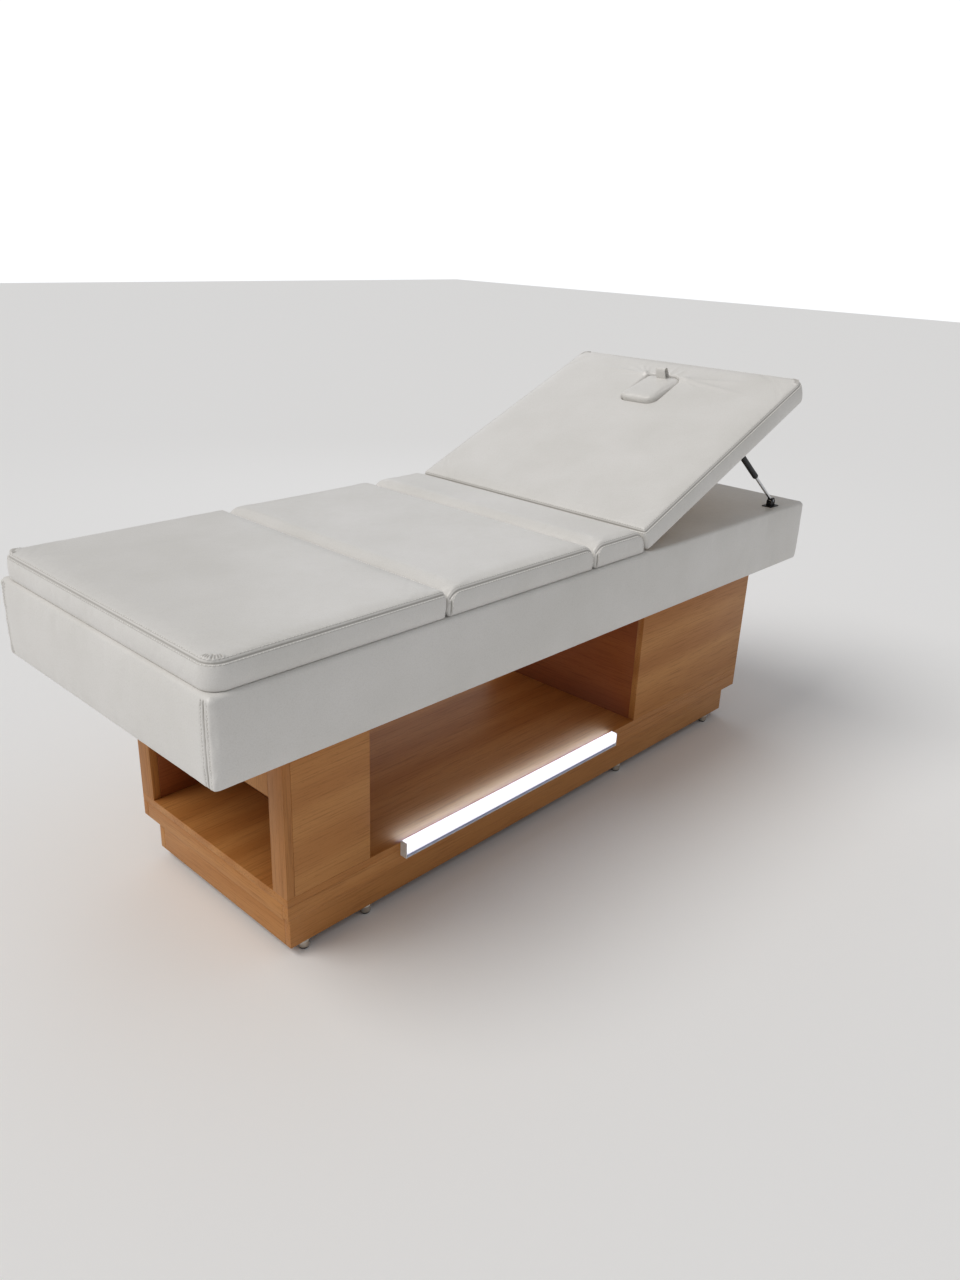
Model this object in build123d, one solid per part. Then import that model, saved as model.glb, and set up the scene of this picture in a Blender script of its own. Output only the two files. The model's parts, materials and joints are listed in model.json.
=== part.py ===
"""Treatment bed: an upholstered box tray with four cushions on a laminate cabinet base.

Millimetres. +X runs from the foot end to the head end, +Z is up, and the near long side is at -Y.
The origin is on the floor, below the middle of the tray. The hinged back is raised at rest.
"""
import math
import os

from build123d import *

# ---------------------------------------------------------------- overall sizes
tray_length = 1900.0
tray_width = 750.0
tray_height = 163.0
base_length = 1644.0
base_width = 538.0
foot_overhang = 199.0  # tray past the base at the foot end
block_height = 363.0  # shelf top to the underside of the tray

# ---------------------------------------------------------------- base
board = 18.0  # laminated board thickness
glide_height = 22.0
glide_radius = 12.0
glide_sole_height = 4.0
glide_sole_radius = 10.0
glide_sole_chamfer = 1.0
glide_edge_radius = 4.2
glide_inset = 12.0  # plinth's long face to a glide's axis
glide_stations = (40.0, 201.0, 1091.0, 1531.0)  # along the plinth from its foot end
plinth_height = 84.0
plinth_inset_end = 20.0
plinth_inset_side = 24.0
plinth_crosses = 2
shelf_rail_height = 36.0
shelf_crosses = 3
corner_slot_height = 5.0
corner_slot_side = 40.0
corner_slot_end = 16.0
foot_block_length = 206.0
head_block_length = 523.0
foot_wall = 47.0  # built-up side wall of the foot block
niche_height = 208.0
board_gap = 0.2  # joint line between boards that butt
over = 1.0  # how far a cutting form passes the face that it cuts, or a joined form enters its neighbour
fillet_room = 0.1  # keeps the two fillets of a full round apart

# ---------------------------------------------------------------- tray
tray_skin_side = 10.0  # padding and cover on the sides
tray_skin_top = 4.0
tray_corner_radius = 14.0
tray_edge_radius = 9.0
deck_thickness = 15.0
bottom_thickness = 9.0
tray_crosses = 4
base_bolt_radius = 4.0
base_bolt_head_radius = 7.5
base_bolt_head_height = 4.0
base_bolt_inset_foot = 45.0  # block's ends to the bolts
base_bolt_inset_head = 54.0
base_bolt_inset_side = 54.0

# ---------------------------------------------------------------- cushions
cushion_thickness = 55.0
cushion_ledge = 8.0  # strip of tray top that shows beside the cushions
cushion_gap = 4.0
cushion_edge_radius = 12.0
cushion_corner_radius = 35.0
cushion_inner_radius = 8.0
cushion_board = 12.0
cushion_tuck = 4.0  # cover round the edge of a cushion's board
leg_length = 503.0
seat_length = 437.0
narrow_length = 187.5
back_length = 735.0
narrow_head_slope = 15.5  # how far the head end leans back at its top

# ---------------------------------------------------------------- back section
back_angle = 23.0  # rest angle above flat
back_board_thickness = 15.0
back_clear = 0.5  # back over the tray when flat
back_end_gap = 4.5  # hinge axis to the back's lower end

# ---------------------------------------------------------------- face hole and plug
hole_centre = 577.0  # from the hinge axis, along the back
hole_offset_y = 10.0
hole_length = 152.0
hole_width = 112.0
hole_corner = 26.0
hole_ledge = 10.0  # board that shows in the hole and carries the plug
plug_clearance = 1.5
plug_seat_gap = 0.3  # plug over the board that carries it
plug_rise_foot = 20.0  # plug over the cushion at its foot end
plug_rise_head = 2.0
plug_edge_radius = 6.0
tab_width = 24.0
tab_thickness = 2.0
tab_height = 30.0
tab_depth = 16.0

# ---------------------------------------------------------------- hinges
hinge_count = 3
hinge_pitch = 260.0
hinge_width = 70.0
hinge_leaf = 32.0
hinge_leaf_thickness = 1.6
hinge_knuckle_radius = 4.0
hinge_pin_radius = 2.0
hinge_running = 0.05
hinge_knuckle_gap = 0.5
hinge_rise = 0.3  # knuckle over the tray
hinge_screw_radius = 1.75
hinge_screw_length = 9.0
hinge_screw_inset = 10.0

# ---------------------------------------------------------------- struts
strut_y = 337.0  # strut axis from the middle
strut_foot_x = 626.0  # lower pivot from the hinge axis
strut_foot_z = 16.0  # lower pivot over the tray
strut_back_x = 439.0  # upper pivot along the back from the hinge axis
strut_back_z = 14.0  # upper pivot above the back's underside
strut_tube_radius = 7.5
strut_tube_wall = 1.2
strut_tube_start = 12.0  # upper pivot to the tube
strut_tube_length = 137.0
strut_guide_length = 12.0
strut_rod_radius = 4.0
strut_piston_length = 8.0
strut_rod_inside = 22.0  # rod and piston inside the tube at rest, fully out
strut_running = 0.05
strut_pin_radius = 3.0
pin_proud = 1.0  # pin past the cheeks
strut_eye_radius = 7.0
strut_eye_width = 8.0
strut_neck = 18.0  # lower pivot to the end of the rod's fitting
cheek_thickness = 2.0
cheek_gap = 0.6  # eye or tube to a cheek
lower_base_length = 40.0
lower_base_width = 28.0
lower_cheek_radius = 8.0
lower_cheek_web = 22.0
upper_cheek_height = 23.0
upper_cheek_rim = 4.0  # metal round the slot
upper_collar_radius = 5.0
slot_reach_foot = 33.0  # free travel of the open upper pivot, towards the hinge
slot_reach_head = 6.0
slot_half_height = 4.5
slot_drop = 8.0
channel_width = 32.0
channel_depth = 26.0
channel_clear = 12.0

# ---------------------------------------------------------------- light
led_start = 291.0  # from the base's foot end
led_length = 730.0
led_height = 36.0
led_depth = 18.0
led_rise = 4.0  # top of the light over the shelf
led_rail = 2.0
led_gap = 3.0
led_wall = 1.5
led_edge_radius = 6.0
led_strip_margin = 5.0  # strip's ends to the light's
led_cap = 2.5
led_strip_width = 12.0
led_strip_thickness = 1.6
led_chip = 4.0
led_chips = 24
driver_size = (150.0, 42.0, 30.0)
driver_edge_radius = 3.0
inlet_radius = 11.0
inlet_hole_radius = 3.2
inlet_length = 24.0
inlet_hole_depth = 9.0
inlet_flange = 3.0
inlet_height = 90.0  # above the shelf
inlet_y = 150.0

# ---------------------------------------------------------------- levels and stations
plinth_top = glide_height + plinth_height
shelf_top = plinth_top + shelf_rail_height + board
tray_bottom = shelf_top + block_height
tray_top = tray_bottom + tray_height
deck_top = tray_top - tray_skin_top
deck_bottom = deck_top - deck_thickness
rail_bottom = tray_bottom + bottom_thickness
base_foot = -tray_length / 2 + foot_overhang
base_head = base_foot + base_length
base_half = base_width / 2
foot_block_head = base_foot + foot_block_length
head_block_foot = base_head - head_block_length
cushion_half = tray_width / 2 - cushion_ledge
leg_foot = -tray_length / 2 + cushion_ledge
seat_foot = leg_foot + leg_length + cushion_gap
narrow_foot = seat_foot + seat_length + cushion_gap
hinge_x = narrow_foot + narrow_length + back_end_gap
hinge_z = tray_top + hinge_rise + hinge_knuckle_radius
back_foot = hinge_x + back_end_gap
back_bottom = tray_top + back_clear
hinge_axis = Axis((hinge_x, 0, hinge_z), (0, -1, 0))


def block(x0, x1, y0, y1, z0, z1):
    """Box between two corners."""
    return Pos((x0 + x1) / 2, (y0 + y1) / 2, (z0 + z1) / 2) * Box(x1 - x0, y1 - y0, z1 - z0)


def rod_y(x, y0, y1, z, radius):
    """Cylinder along Y between two stations."""
    return Pos(x, (y0 + y1) / 2, z) * Rot(90, 0, 0) * Cylinder(radius, y1 - y0)


def spread(count, low, high):
    """Stations of equal pitch, none at the ends."""
    return [low + (high - low) * (i + 1) / (count + 1) for i in range(count)]


def centred(count, pitch):
    """Stations of equal pitch about zero."""
    return [(i - (count - 1) / 2) * pitch for i in range(count)]


def save(name, shape, angle=0.0):
    """Writes one node, turned about the hinge axis when it rides on the back."""
    if angle:
        shape = shape.rotate(hinge_axis, angle)
    solids = shape.solids()
    export_step(solids[0] if len(solids) == 1 else Compound(children=list(solids)), f"parts/{name}.step")


def group(shapes):
    """Separate solids that share a node."""
    return Compound(children=[s for shape in shapes for s in shape.solids()])


# ---------------------------------------------------------------- base
def glides():
    """Nickel-plated cups with nylon soles under the plinth's long boards."""
    plinth_foot = base_foot + plinth_inset_end
    y = base_half - plinth_inset_side - glide_inset
    cups = []
    soles = []
    for station in glide_stations:
        for side in (-1, 1):
            place = Pos(plinth_foot + station, side * y, 0)
            cup_height = glide_height - glide_sole_height / 2
            cup = Pos(0, 0, glide_height - cup_height / 2) * Cylinder(glide_radius, cup_height)
            cup = fillet(cup.edges().filter_by(GeomType.CIRCLE), glide_edge_radius)
            pocket = Pos(0, 0, glide_sole_height / 2) * Cylinder(glide_sole_radius, glide_sole_height)
            rim = pocket.edges().filter_by(GeomType.CIRCLE).sort_by(Axis.Z)[0]
            cups.append(place * (cup - pocket))
            soles.append(place * chamfer(rim, glide_sole_chamfer))
    save("glide_cups", group(cups))
    save("glide_soles", group(soles))


def plinth():
    """Set-back frame of boards on edge."""
    x0 = base_foot + plinth_inset_end
    x1 = base_head - plinth_inset_end
    y = base_half - plinth_inset_side
    save("plinth_near", block(x0, x1, -y, -y + board, glide_height, plinth_top))
    save("plinth_far", block(x0, x1, y - board, y, glide_height, plinth_top))
    inner = y - board - board_gap
    stations = [x0, x1 - board] + [s - board / 2 for s in spread(plinth_crosses, x0, x1)]
    boards = [block(s, s + board, -inner, inner, glide_height, plinth_top) for s in stations]
    save("plinth_cross_boards", group(boards))


def corner_slot():
    """Shallow notch under the near foot corner of the shelf."""
    head, inner = base_foot + corner_slot_side, -base_half + corner_slot_end
    return block(base_foot - over, head, -base_half - over, inner,
                 plinth_top - over, plinth_top + corner_slot_height)


def shelf():
    """Long lower shelf: a board on a ring of rails."""
    z = plinth_top + shelf_rail_height
    save("shelf_board", block(base_foot, base_head, -base_half, base_half, z, shelf_top))
    near = block(base_foot, base_head, -base_half, -base_half + board, plinth_top, z)
    save("shelf_rail_near", near - corner_slot())
    save("shelf_rail_far", block(base_foot, base_head, base_half - board, base_half, plinth_top, z))
    inner = base_half - board - board_gap
    stations = [base_foot, base_head - board]
    stations += [s - board / 2 for s in spread(shelf_crosses, base_foot, base_head)]
    rails = [block(s, s + board, -inner, inner, plinth_top, z) for s in stations]
    save("shelf_cross_rails", group(rails))


def foot_block():
    """Open-ended box with thick side walls at the foot end."""
    z0 = shelf_top
    z1 = tray_bottom
    face = base_foot + board
    x1 = foot_block_head
    inner = base_half - foot_wall
    ceiling = z0 + niche_height
    for name, side in (("near", -1), ("far", 1)):
        outer = sorted((side * base_half, side * (base_half - board)))
        lining = sorted((side * inner, side * (inner + board)))
        save(f"foot_panel_{name}", block(face + board_gap, x1, *outer, z0, z1))
        save(f"foot_lining_{name}", block(face + board_gap, x1 - board - board_gap, *lining, z0, ceiling))
    stiles = [block(base_foot, face, *sorted((s * base_half, s * inner)), z0, z1) for s in (-1, 1)]
    rail = block(base_foot, face, -inner + board_gap, inner - board_gap, ceiling, z1)
    save("foot_face_frame", group(stiles + [rail]))
    wide = base_half - board - board_gap
    save("foot_inner_panel", block(x1 - board, x1, -wide, wide, z0, z1))
    lining = block(face + board_gap, x1 - board - board_gap, -wide, wide, ceiling, ceiling + board)
    save("niche_ceiling", lining)


def head_block():
    """Closed storage box at the head end, and the top boards of both blocks."""
    z0 = shelf_top
    z1 = tray_bottom
    x0 = head_block_foot
    x1 = base_head
    for name, side in (("near", -1), ("far", 1)):
        outer = sorted((side * base_half, side * (base_half - board)))
        save(f"head_panel_{name}", block(x0, x1, *outer, z0, z1))
    wide = base_half - board - board_gap
    save("head_inner_panel", block(x0, x0 + board, -wide, wide, z0, z1))
    end = block(x1 - board, x1, -wide, wide, z0, z1)
    z = z0 + inlet_height
    end -= Pos(x1, inlet_y, z) * Rot(0, 90, 0) * Cylinder(inlet_radius - inlet_flange, 2 * (board + over))
    save("head_end_panel", end)
    tops = []
    for low, high in ((base_foot + board, foot_block_head - board), (x0 + board, x1 - board)):
        tops.append(block(low + board_gap, high - board_gap, -wide, wide, z1 - board, z1))
    save("block_top_boards", group([top - base_bolt_shanks() for top in tops]))


def base_bolt_places():
    """Where the tray is bolted down to the blocks."""
    y = base_half - base_bolt_inset_side
    spans = ((base_foot + base_bolt_inset_foot, foot_block_head - base_bolt_inset_foot),
             (head_block_foot + base_bolt_inset_head, base_head - base_bolt_inset_head))
    return [(x, side * y) for span in spans for x in span for side in (-1, 1)]


def base_bolt_shanks():
    """Shanks through a block's top board and the tray's bottom board."""
    low = tray_bottom - board
    high = tray_bottom + bottom_thickness
    middle = (low + high) / 2
    return [Pos(x, y, middle) * Cylinder(base_bolt_radius, high - low) for x, y in base_bolt_places()]


def base_bolts():
    """Bolts with flat heads inside the blocks."""
    bolts = []
    for (x, y), shank in zip(base_bolt_places(), base_bolt_shanks()):
        head = Pos(x, y, tray_bottom - board - base_bolt_head_height / 2)
        bolts.append(shank + head * Cylinder(base_bolt_head_radius, base_bolt_head_height))
    save("base_bolts", group(bolts))


# ---------------------------------------------------------------- tray
def tray():
    """Box tray of boards, with a deck and a padded cover."""
    half_l = tray_length / 2 - tray_skin_side
    half_w = tray_width / 2 - tray_skin_side
    for name, side in (("near", -1), ("far", 1)):
        outer = sorted((side * half_w, side * (half_w - board)))
        save(f"tray_rail_{name}", block(-half_l, half_l, *outer, rail_bottom, deck_bottom))
    inner = half_w - board - board_gap
    stations = [-half_l, half_l - board]
    stations += [s - board / 2 for s in spread(tray_crosses, -half_l, half_l)]
    crosses = [block(s, s + board, -inner, inner, rail_bottom, deck_bottom) for s in stations]
    save("tray_cross_boards", group(crosses))
    bottom = block(-half_l, half_l, -half_w, half_w, tray_bottom, rail_bottom)
    save("tray_bottom_board", bottom - base_bolt_shanks())
    save("tray_deck", block(-half_l, half_l, -half_w, half_w, deck_bottom, deck_top))
    outer = Pos(0, 0, (tray_bottom + tray_top) / 2) * Box(tray_length, tray_width, tray_height)
    outer = fillet(outer.edges().filter_by(Axis.Z), tray_corner_radius)
    outer = fillet(outer.faces().sort_by(Axis.Z)[-1].edges(), tray_edge_radius)
    cavity = block(-half_l, half_l, -half_w, half_w, tray_bottom - over, deck_top)
    save("tray_cover", outer - cavity)


# ---------------------------------------------------------------- cushions
def cushion_form(x0, x1, z0, foot_corner, head_corner):
    """Plain cushion with rounded corners and top edges."""
    form = slab(x0, x1, cushion_half, z0, z0 + cushion_thickness, foot_corner, head_corner)
    return fillet(form.faces().sort_by(Axis.Z)[-1].edges(), cushion_edge_radius)


def slab(x0, x1, half, z0, z1, foot_corner, head_corner):
    """Flat block with one corner radius at its foot end and one at its head end."""
    form = block(x0, x1, -half, half, z0, z1)
    form = fillet(form.edges().filter_by(Axis.Z).sort_by(Axis.X)[:2], foot_corner)
    uprights = form.edges().filter_by(Axis.Z).sort_by(Axis.X)[-2:]
    return fillet(uprights, head_corner)


def board_form(x0, x1, z0, thickness, foot_corner, head_corner):
    """Plywood base inside a cushion's edge, its corners following the cushion's."""
    return slab(x0 + cushion_tuck, x1 - cushion_tuck, cushion_half - cushion_tuck, z0, z0 + thickness,
                foot_corner - cushion_tuck, head_corner - cushion_tuck)


def hinge_stations():
    """Middle of each hinge."""
    return centred(hinge_count, hinge_pitch)


def leaf_recess(direction):
    """Room for the hinge leaves, towards the foot (-1) or the head (1)."""
    x = sorted((hinge_x, hinge_x + direction * (hinge_leaf + hinge_running)))
    half = hinge_width / 2 + hinge_running
    low = tray_top - over
    high = hinge_z - hinge_knuckle_radius + hinge_leaf_thickness
    return [block(*x, y - half, y + half, low, high) for y in hinge_stations()]


def fixed_cushions():
    """Leg, seat and narrow cushions, each on its board."""
    spans = {"leg": (leg_foot, leg_length, cushion_corner_radius, cushion_inner_radius),
             "seat": (seat_foot, seat_length, cushion_inner_radius, cushion_inner_radius),
             "narrow": (narrow_foot, narrow_length, cushion_inner_radius, cushion_inner_radius)}
    for name, (x0, length, foot_corner, head_corner) in spans.items():
        x1 = x0 + length
        base = board_form(x0, x1, tray_top, cushion_board, foot_corner, head_corner)
        form = cushion_form(x0, x1, tray_top, foot_corner, head_corner)
        if name == "narrow":
            form = narrow_form(x0, x1)
            cuts = leaf_recess(-1) + hinge_screws(-1)
            base = base - leaf_recess(-1)
            form = form - base - cuts
            base = base - hinge_screws(-1)
        else:
            form = form - base
        save(f"{name}_board", base)
        save(f"{name}_cushion", form)


def narrow_form(x0, x1):
    """Narrow cushion whose head end leans back, clear of the raised back."""
    top = tray_top + cushion_thickness
    side = [(x0, tray_top), (x1, tray_top), (x1 - narrow_head_slope, top), (x0, top)]
    outline = Plane.XZ * Polygon(*side, align=None)
    form = Pos(0, cushion_half, 0) * extrude(outline, amount=2 * cushion_half)
    form = fillet(form.edges().filter_by(Axis.Z), cushion_inner_radius)
    return fillet(form.faces().sort_by(Axis.Z)[-1].edges(), cushion_edge_radius)


def strut_channel(side):
    """Recess under the back that takes a strut when the back is flat."""
    x0 = hinge_x + strut_back_x - slot_reach_foot - strut_eye_radius - channel_clear
    x1 = hinge_x + strut_foot_x + lower_base_length / 2 + channel_clear
    y = side * strut_y
    half = channel_width / 2
    return block(x0, x1, y - half, y + half, back_bottom - over, back_bottom + channel_depth)


def hole_form(length, width, corner, z0, z1):
    """Rounded rectangle prism about the face hole's centre."""
    form = Box(length, width, z1 - z0)
    form = fillet(form.edges().filter_by(Axis.Z), corner)
    return Pos(hinge_x + hole_centre, hole_offset_y, (z0 + z1) / 2) * form


def back_section():
    """Hinged back: a board and a cushion with the face hole and strut recesses."""
    x0 = back_foot
    x1 = back_foot + back_length
    channels = [strut_channel(side) for side in (-1, 1)]
    top = back_bottom + cushion_thickness
    base = board_form(x0, x1, back_bottom, back_board_thickness, cushion_inner_radius, cushion_corner_radius)
    form = cushion_form(x0, x1, back_bottom, cushion_inner_radius, cushion_corner_radius) - base
    base -= channels
    base -= hole_form(hole_length - 2 * hole_ledge, hole_width - 2 * hole_ledge, hole_corner - hole_ledge,
                      back_bottom - over, top)
    form -= channels
    form -= hole_form(hole_length, hole_width, hole_corner, back_bottom - over, top + over)
    cuts = leaf_recess(1)
    save("back_board", base - cuts - hinge_screws(1), back_angle)
    save("back_cushion", form - cuts - hinge_screws(1), back_angle)


def face_plug():
    """Loose plug of the face hole, proud at its foot end, with a pull tab."""
    z0 = back_bottom + back_board_thickness + plug_seat_gap
    top = back_bottom + cushion_thickness
    length = hole_length - 2 * plug_clearance
    width = hole_width - 2 * plug_clearance
    form = hole_form(length, width, hole_corner - plug_clearance, z0, top + plug_rise_foot)
    middle = hinge_x + hole_centre
    x0 = middle - length / 2
    x1 = middle + length / 2
    above = top + 2 * plug_rise_foot
    side = [(x0 - over, top + plug_rise_foot), (x1 + over, top + plug_rise_head), (x1 + over, above),
            (x0 - over, above)]
    wedge = Pos(0, tray_width / 2, 0) * extrude(Plane.XZ * Polygon(*side, align=None), amount=tray_width)
    form -= wedge
    form = fillet(form.faces().sort_by(Axis.Z)[-1].edges(), plug_edge_radius)
    save("face_plug", form, back_angle)
    tab_x = x1 - plug_edge_radius - tab_depth / 2
    slope = (plug_rise_foot - plug_rise_head) / length
    tab_z = top + plug_rise_head + slope * (x1 - tab_x)
    outer = Box(tab_depth, tab_width, tab_height)
    outer = fillet(outer.edges().filter_by(Axis.Y), tab_depth / 2 - fillet_room)
    hollow = Box(tab_depth - 2 * tab_thickness, 2 * tab_width, tab_height - 2 * tab_thickness)
    hollow = fillet(hollow.edges().filter_by(Axis.Y), tab_depth / 2 - tab_thickness - fillet_room)
    loop = Pos(tab_x, hole_offset_y, tab_z + tab_height / 2 - tab_thickness) * (outer - hollow)
    save("plug_tab", loop - form, back_angle)


# ---------------------------------------------------------------- hinges
def knuckle_spans(y):
    """The three knuckles of one hinge, the middle one on the moving leaf."""
    third = hinge_width / 3
    edge = hinge_knuckle_gap / 2
    low = y - hinge_width / 2
    starts = [low + i * third + (edge if i else 0) for i in range(3)]
    ends = [low + (i + 1) * third - (edge if i < 2 else 0) for i in range(3)]
    return list(zip(starts, ends))


def hinge_screws(direction):
    """Two countersunk screws up through each leaf."""
    x = hinge_x + direction * (hinge_leaf - hinge_screw_inset)
    z0 = hinge_z - hinge_knuckle_radius
    screws = []
    for y in hinge_stations():
        for side in (-1, 1):
            place = Pos(x, y + side * hinge_width / 3, z0)
            head = Pos(0, 0, hinge_leaf_thickness / 2) * Cone(2 * hinge_screw_radius, hinge_screw_radius,
                                                              hinge_leaf_thickness)
            shank = Pos(0, 0, hinge_screw_length / 2) * Cylinder(hinge_screw_radius, hinge_screw_length)
            screws.append(place * (head + shank))
    return screws


def hinge_leaves(direction):
    """Leaves with their knuckles for one side of the hinges."""
    z0 = hinge_z - hinge_knuckle_radius
    z1 = z0 + hinge_leaf_thickness
    near = hinge_x + direction * (hinge_knuckle_radius + hinge_knuckle_gap)
    far = hinge_x + direction * hinge_leaf
    fit = 0.0 if direction < 0 else hinge_running
    leaves = []
    for y in hinge_stations():
        leaf = block(*sorted((near, far)), y - hinge_width / 2, y + hinge_width / 2, z0, z1)
        spans = knuckle_spans(y)
        for y0, y1 in (spans[0], spans[2]) if direction < 0 else (spans[1],):
            leaf += block(*sorted((hinge_x, near)), y0, y1, z0, z1)
            leaf += rod_y(hinge_x, y0, y1, hinge_z, hinge_knuckle_radius)
            leaf -= rod_y(hinge_x, y0 - over, y1 + over, hinge_z, hinge_pin_radius + fit)
        leaves.append(leaf)
    return [leaf - hinge_screws(direction) for leaf in leaves]


def hinges():
    """Butt hinges between the narrow cushion's board and the back's board."""
    half = hinge_width / 2
    pins = [rod_y(hinge_x, y - half, y + half, hinge_z, hinge_pin_radius) for y in hinge_stations()]
    save("hinge_fixed_leaves", group(hinge_leaves(-1)))
    save("hinge_pins", group(pins))
    save("hinge_fixed_screws", group(hinge_screws(-1)))
    save("hinge_moving_leaves", group(hinge_leaves(1)), back_angle)
    save("hinge_moving_screws", group(hinge_screws(1)), back_angle)


# ---------------------------------------------------------------- struts
def strut_ends():
    """Lower pivot, upper pivot at rest, their distance and the strut's direction."""
    turn = math.radians(back_angle)
    low_x = hinge_x + strut_foot_x
    low_z = tray_top + strut_foot_z
    rise = back_bottom + strut_back_z - hinge_z
    up_x = hinge_x + strut_back_x * math.cos(turn) - rise * math.sin(turn)
    up_z = hinge_z + strut_back_x * math.sin(turn) + rise * math.cos(turn)
    length = math.hypot(up_x - low_x, up_z - low_z)
    return low_x, low_z, up_x, up_z, length, math.degrees(math.atan2(up_z - low_z, up_x - low_x))


def along_strut(shape, side):
    """Places a shape drawn along +Z from the lower pivot onto a strut's line."""
    low_x, low_z, _, _, _, angle = strut_ends()
    return Pos(low_x, side * strut_y, low_z) * Rot(0, 90 - angle, 0) * shape


def eye(z):
    """Flat eye with its pin hole, on the strut's line."""
    half = strut_eye_width / 2
    form = rod_y(0, -half, half, z, strut_eye_radius)
    return form - rod_y(0, -half - over, half + over, z, strut_pin_radius + strut_running)


def struts():
    """Two gas struts: a rod pinned to the tray, and a tube that runs on it and lifts the back."""
    low_x, low_z, up_x, up_z, length, _ = strut_ends()
    tube_end = length - strut_tube_start - strut_tube_length
    tube_middle = tube_end + strut_tube_length / 2
    bore = strut_tube_radius - strut_tube_wall
    half = strut_eye_width / 2
    for name, side in (("near", -1), ("far", 1)):
        neck_low = strut_eye_radius - 2 * over
        neck = Pos(0, 0, (neck_low + strut_neck) / 2) * Cylinder(half, strut_neck - neck_low)
        reach = tube_end + strut_rod_inside
        rod = Pos(0, 0, (strut_neck + reach) / 2) * Cylinder(strut_rod_radius, reach - strut_neck)
        piston = Cylinder(bore - strut_running, strut_piston_length)
        piston = Pos(0, 0, reach - strut_piston_length / 2) * piston
        neck -= rod_y(0, -half, half, 0, strut_eye_radius)
        save(f"strut_rod_{name}", along_strut(eye(0) + neck + rod + piston, side))
        tube = Pos(0, 0, tube_middle) * Cylinder(strut_tube_radius, strut_tube_length)
        tube = fillet(tube.edges().filter_by(GeomType.CIRCLE), strut_tube_wall)
        room_low = tube_end + strut_guide_length
        room_high = length - strut_tube_start - strut_tube_wall
        tube -= Pos(0, 0, (room_low + room_high) / 2) * Cylinder(bore, room_high - room_low)
        passage = Cylinder(strut_rod_radius + strut_running, 2 * (strut_guide_length + over))
        tube -= Pos(0, 0, tube_end) * passage
        stem_low = length - strut_tube_start - over
        stem_high = length - strut_eye_radius + over
        stem = Pos(0, 0, (stem_low + stem_high) / 2) * Cylinder(half, stem_high - stem_low)
        stem -= rod_y(0, -half, half, length, strut_eye_radius)
        save(f"strut_tube_{name}", along_strut(tube + stem + eye(length), side))
        collar = strut_tube_radius + cheek_gap / 2
        reach_y = strut_tube_radius + cheek_gap + cheek_thickness + pin_proud
        pin = rod_y(0, -reach_y, reach_y, length, strut_pin_radius + strut_running)
        for span in ((-collar, -half), (half, collar)):
            pin += rod_y(0, *span, length, upper_collar_radius)
        save(f"strut_upper_pin_{name}", along_strut(pin, side))
    lower_brackets(low_x, low_z)
    upper_brackets()


def lower_brackets(low_x, low_z):
    """Clevis brackets that stand on the tray, and their pins."""
    half = strut_eye_width / 2 + cheek_gap
    brackets = []
    pins = []
    for side in (-1, 1):
        y = side * strut_y
        form = block(low_x - lower_base_length / 2, low_x + lower_base_length / 2,
                     y - lower_base_width / 2, y + lower_base_width / 2, tray_top, tray_top + cheek_thickness)
        for flank in (-1, 1):
            span = sorted((y + flank * half, y + flank * (half + cheek_thickness)))
            web = block(low_x - lower_cheek_web / 2, low_x + lower_cheek_web / 2, *span, tray_top, low_z)
            form += web + rod_y(low_x, *span, low_z, lower_cheek_radius)
        reach = half + cheek_thickness
        form -= rod_y(low_x, y - 2 * reach, y + 2 * reach, low_z, strut_pin_radius)
        brackets.append(form)
        pins.append(rod_y(low_x, y - reach - pin_proud, y + reach + pin_proud, low_z, strut_pin_radius))
    save("strut_lower_brackets", group(brackets))
    save("strut_lower_pins", group(pins))


def upper_brackets():
    """Slotted cheek brackets in the back's recesses; the slot leaves the upper pin free play."""
    x = hinge_x + strut_back_x
    z = back_bottom + strut_back_z
    ceiling = back_bottom + channel_depth
    half = strut_tube_radius + cheek_gap
    x0 = x - slot_reach_foot - upper_cheek_rim
    x1 = x + slot_reach_head + upper_cheek_rim
    brackets = []
    for side in (-1, 1):
        y = side * strut_y
        outer = half + cheek_thickness
        form = block(x0, x1, y - outer, y + outer, ceiling - cheek_thickness, ceiling)
        for flank in (-1, 1):
            span = sorted((y + flank * half, y + flank * outer))
            form += block(x0, x1, *span, ceiling - upper_cheek_height, ceiling)
        slot = block(x - slot_reach_foot, x + slot_reach_head, y - 2 * outer, y + 2 * outer,
                     z - slot_drop - slot_half_height, z + slot_half_height)
        brackets.append(form - slot)
    save("strut_upper_brackets", group(brackets), back_angle)


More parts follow.
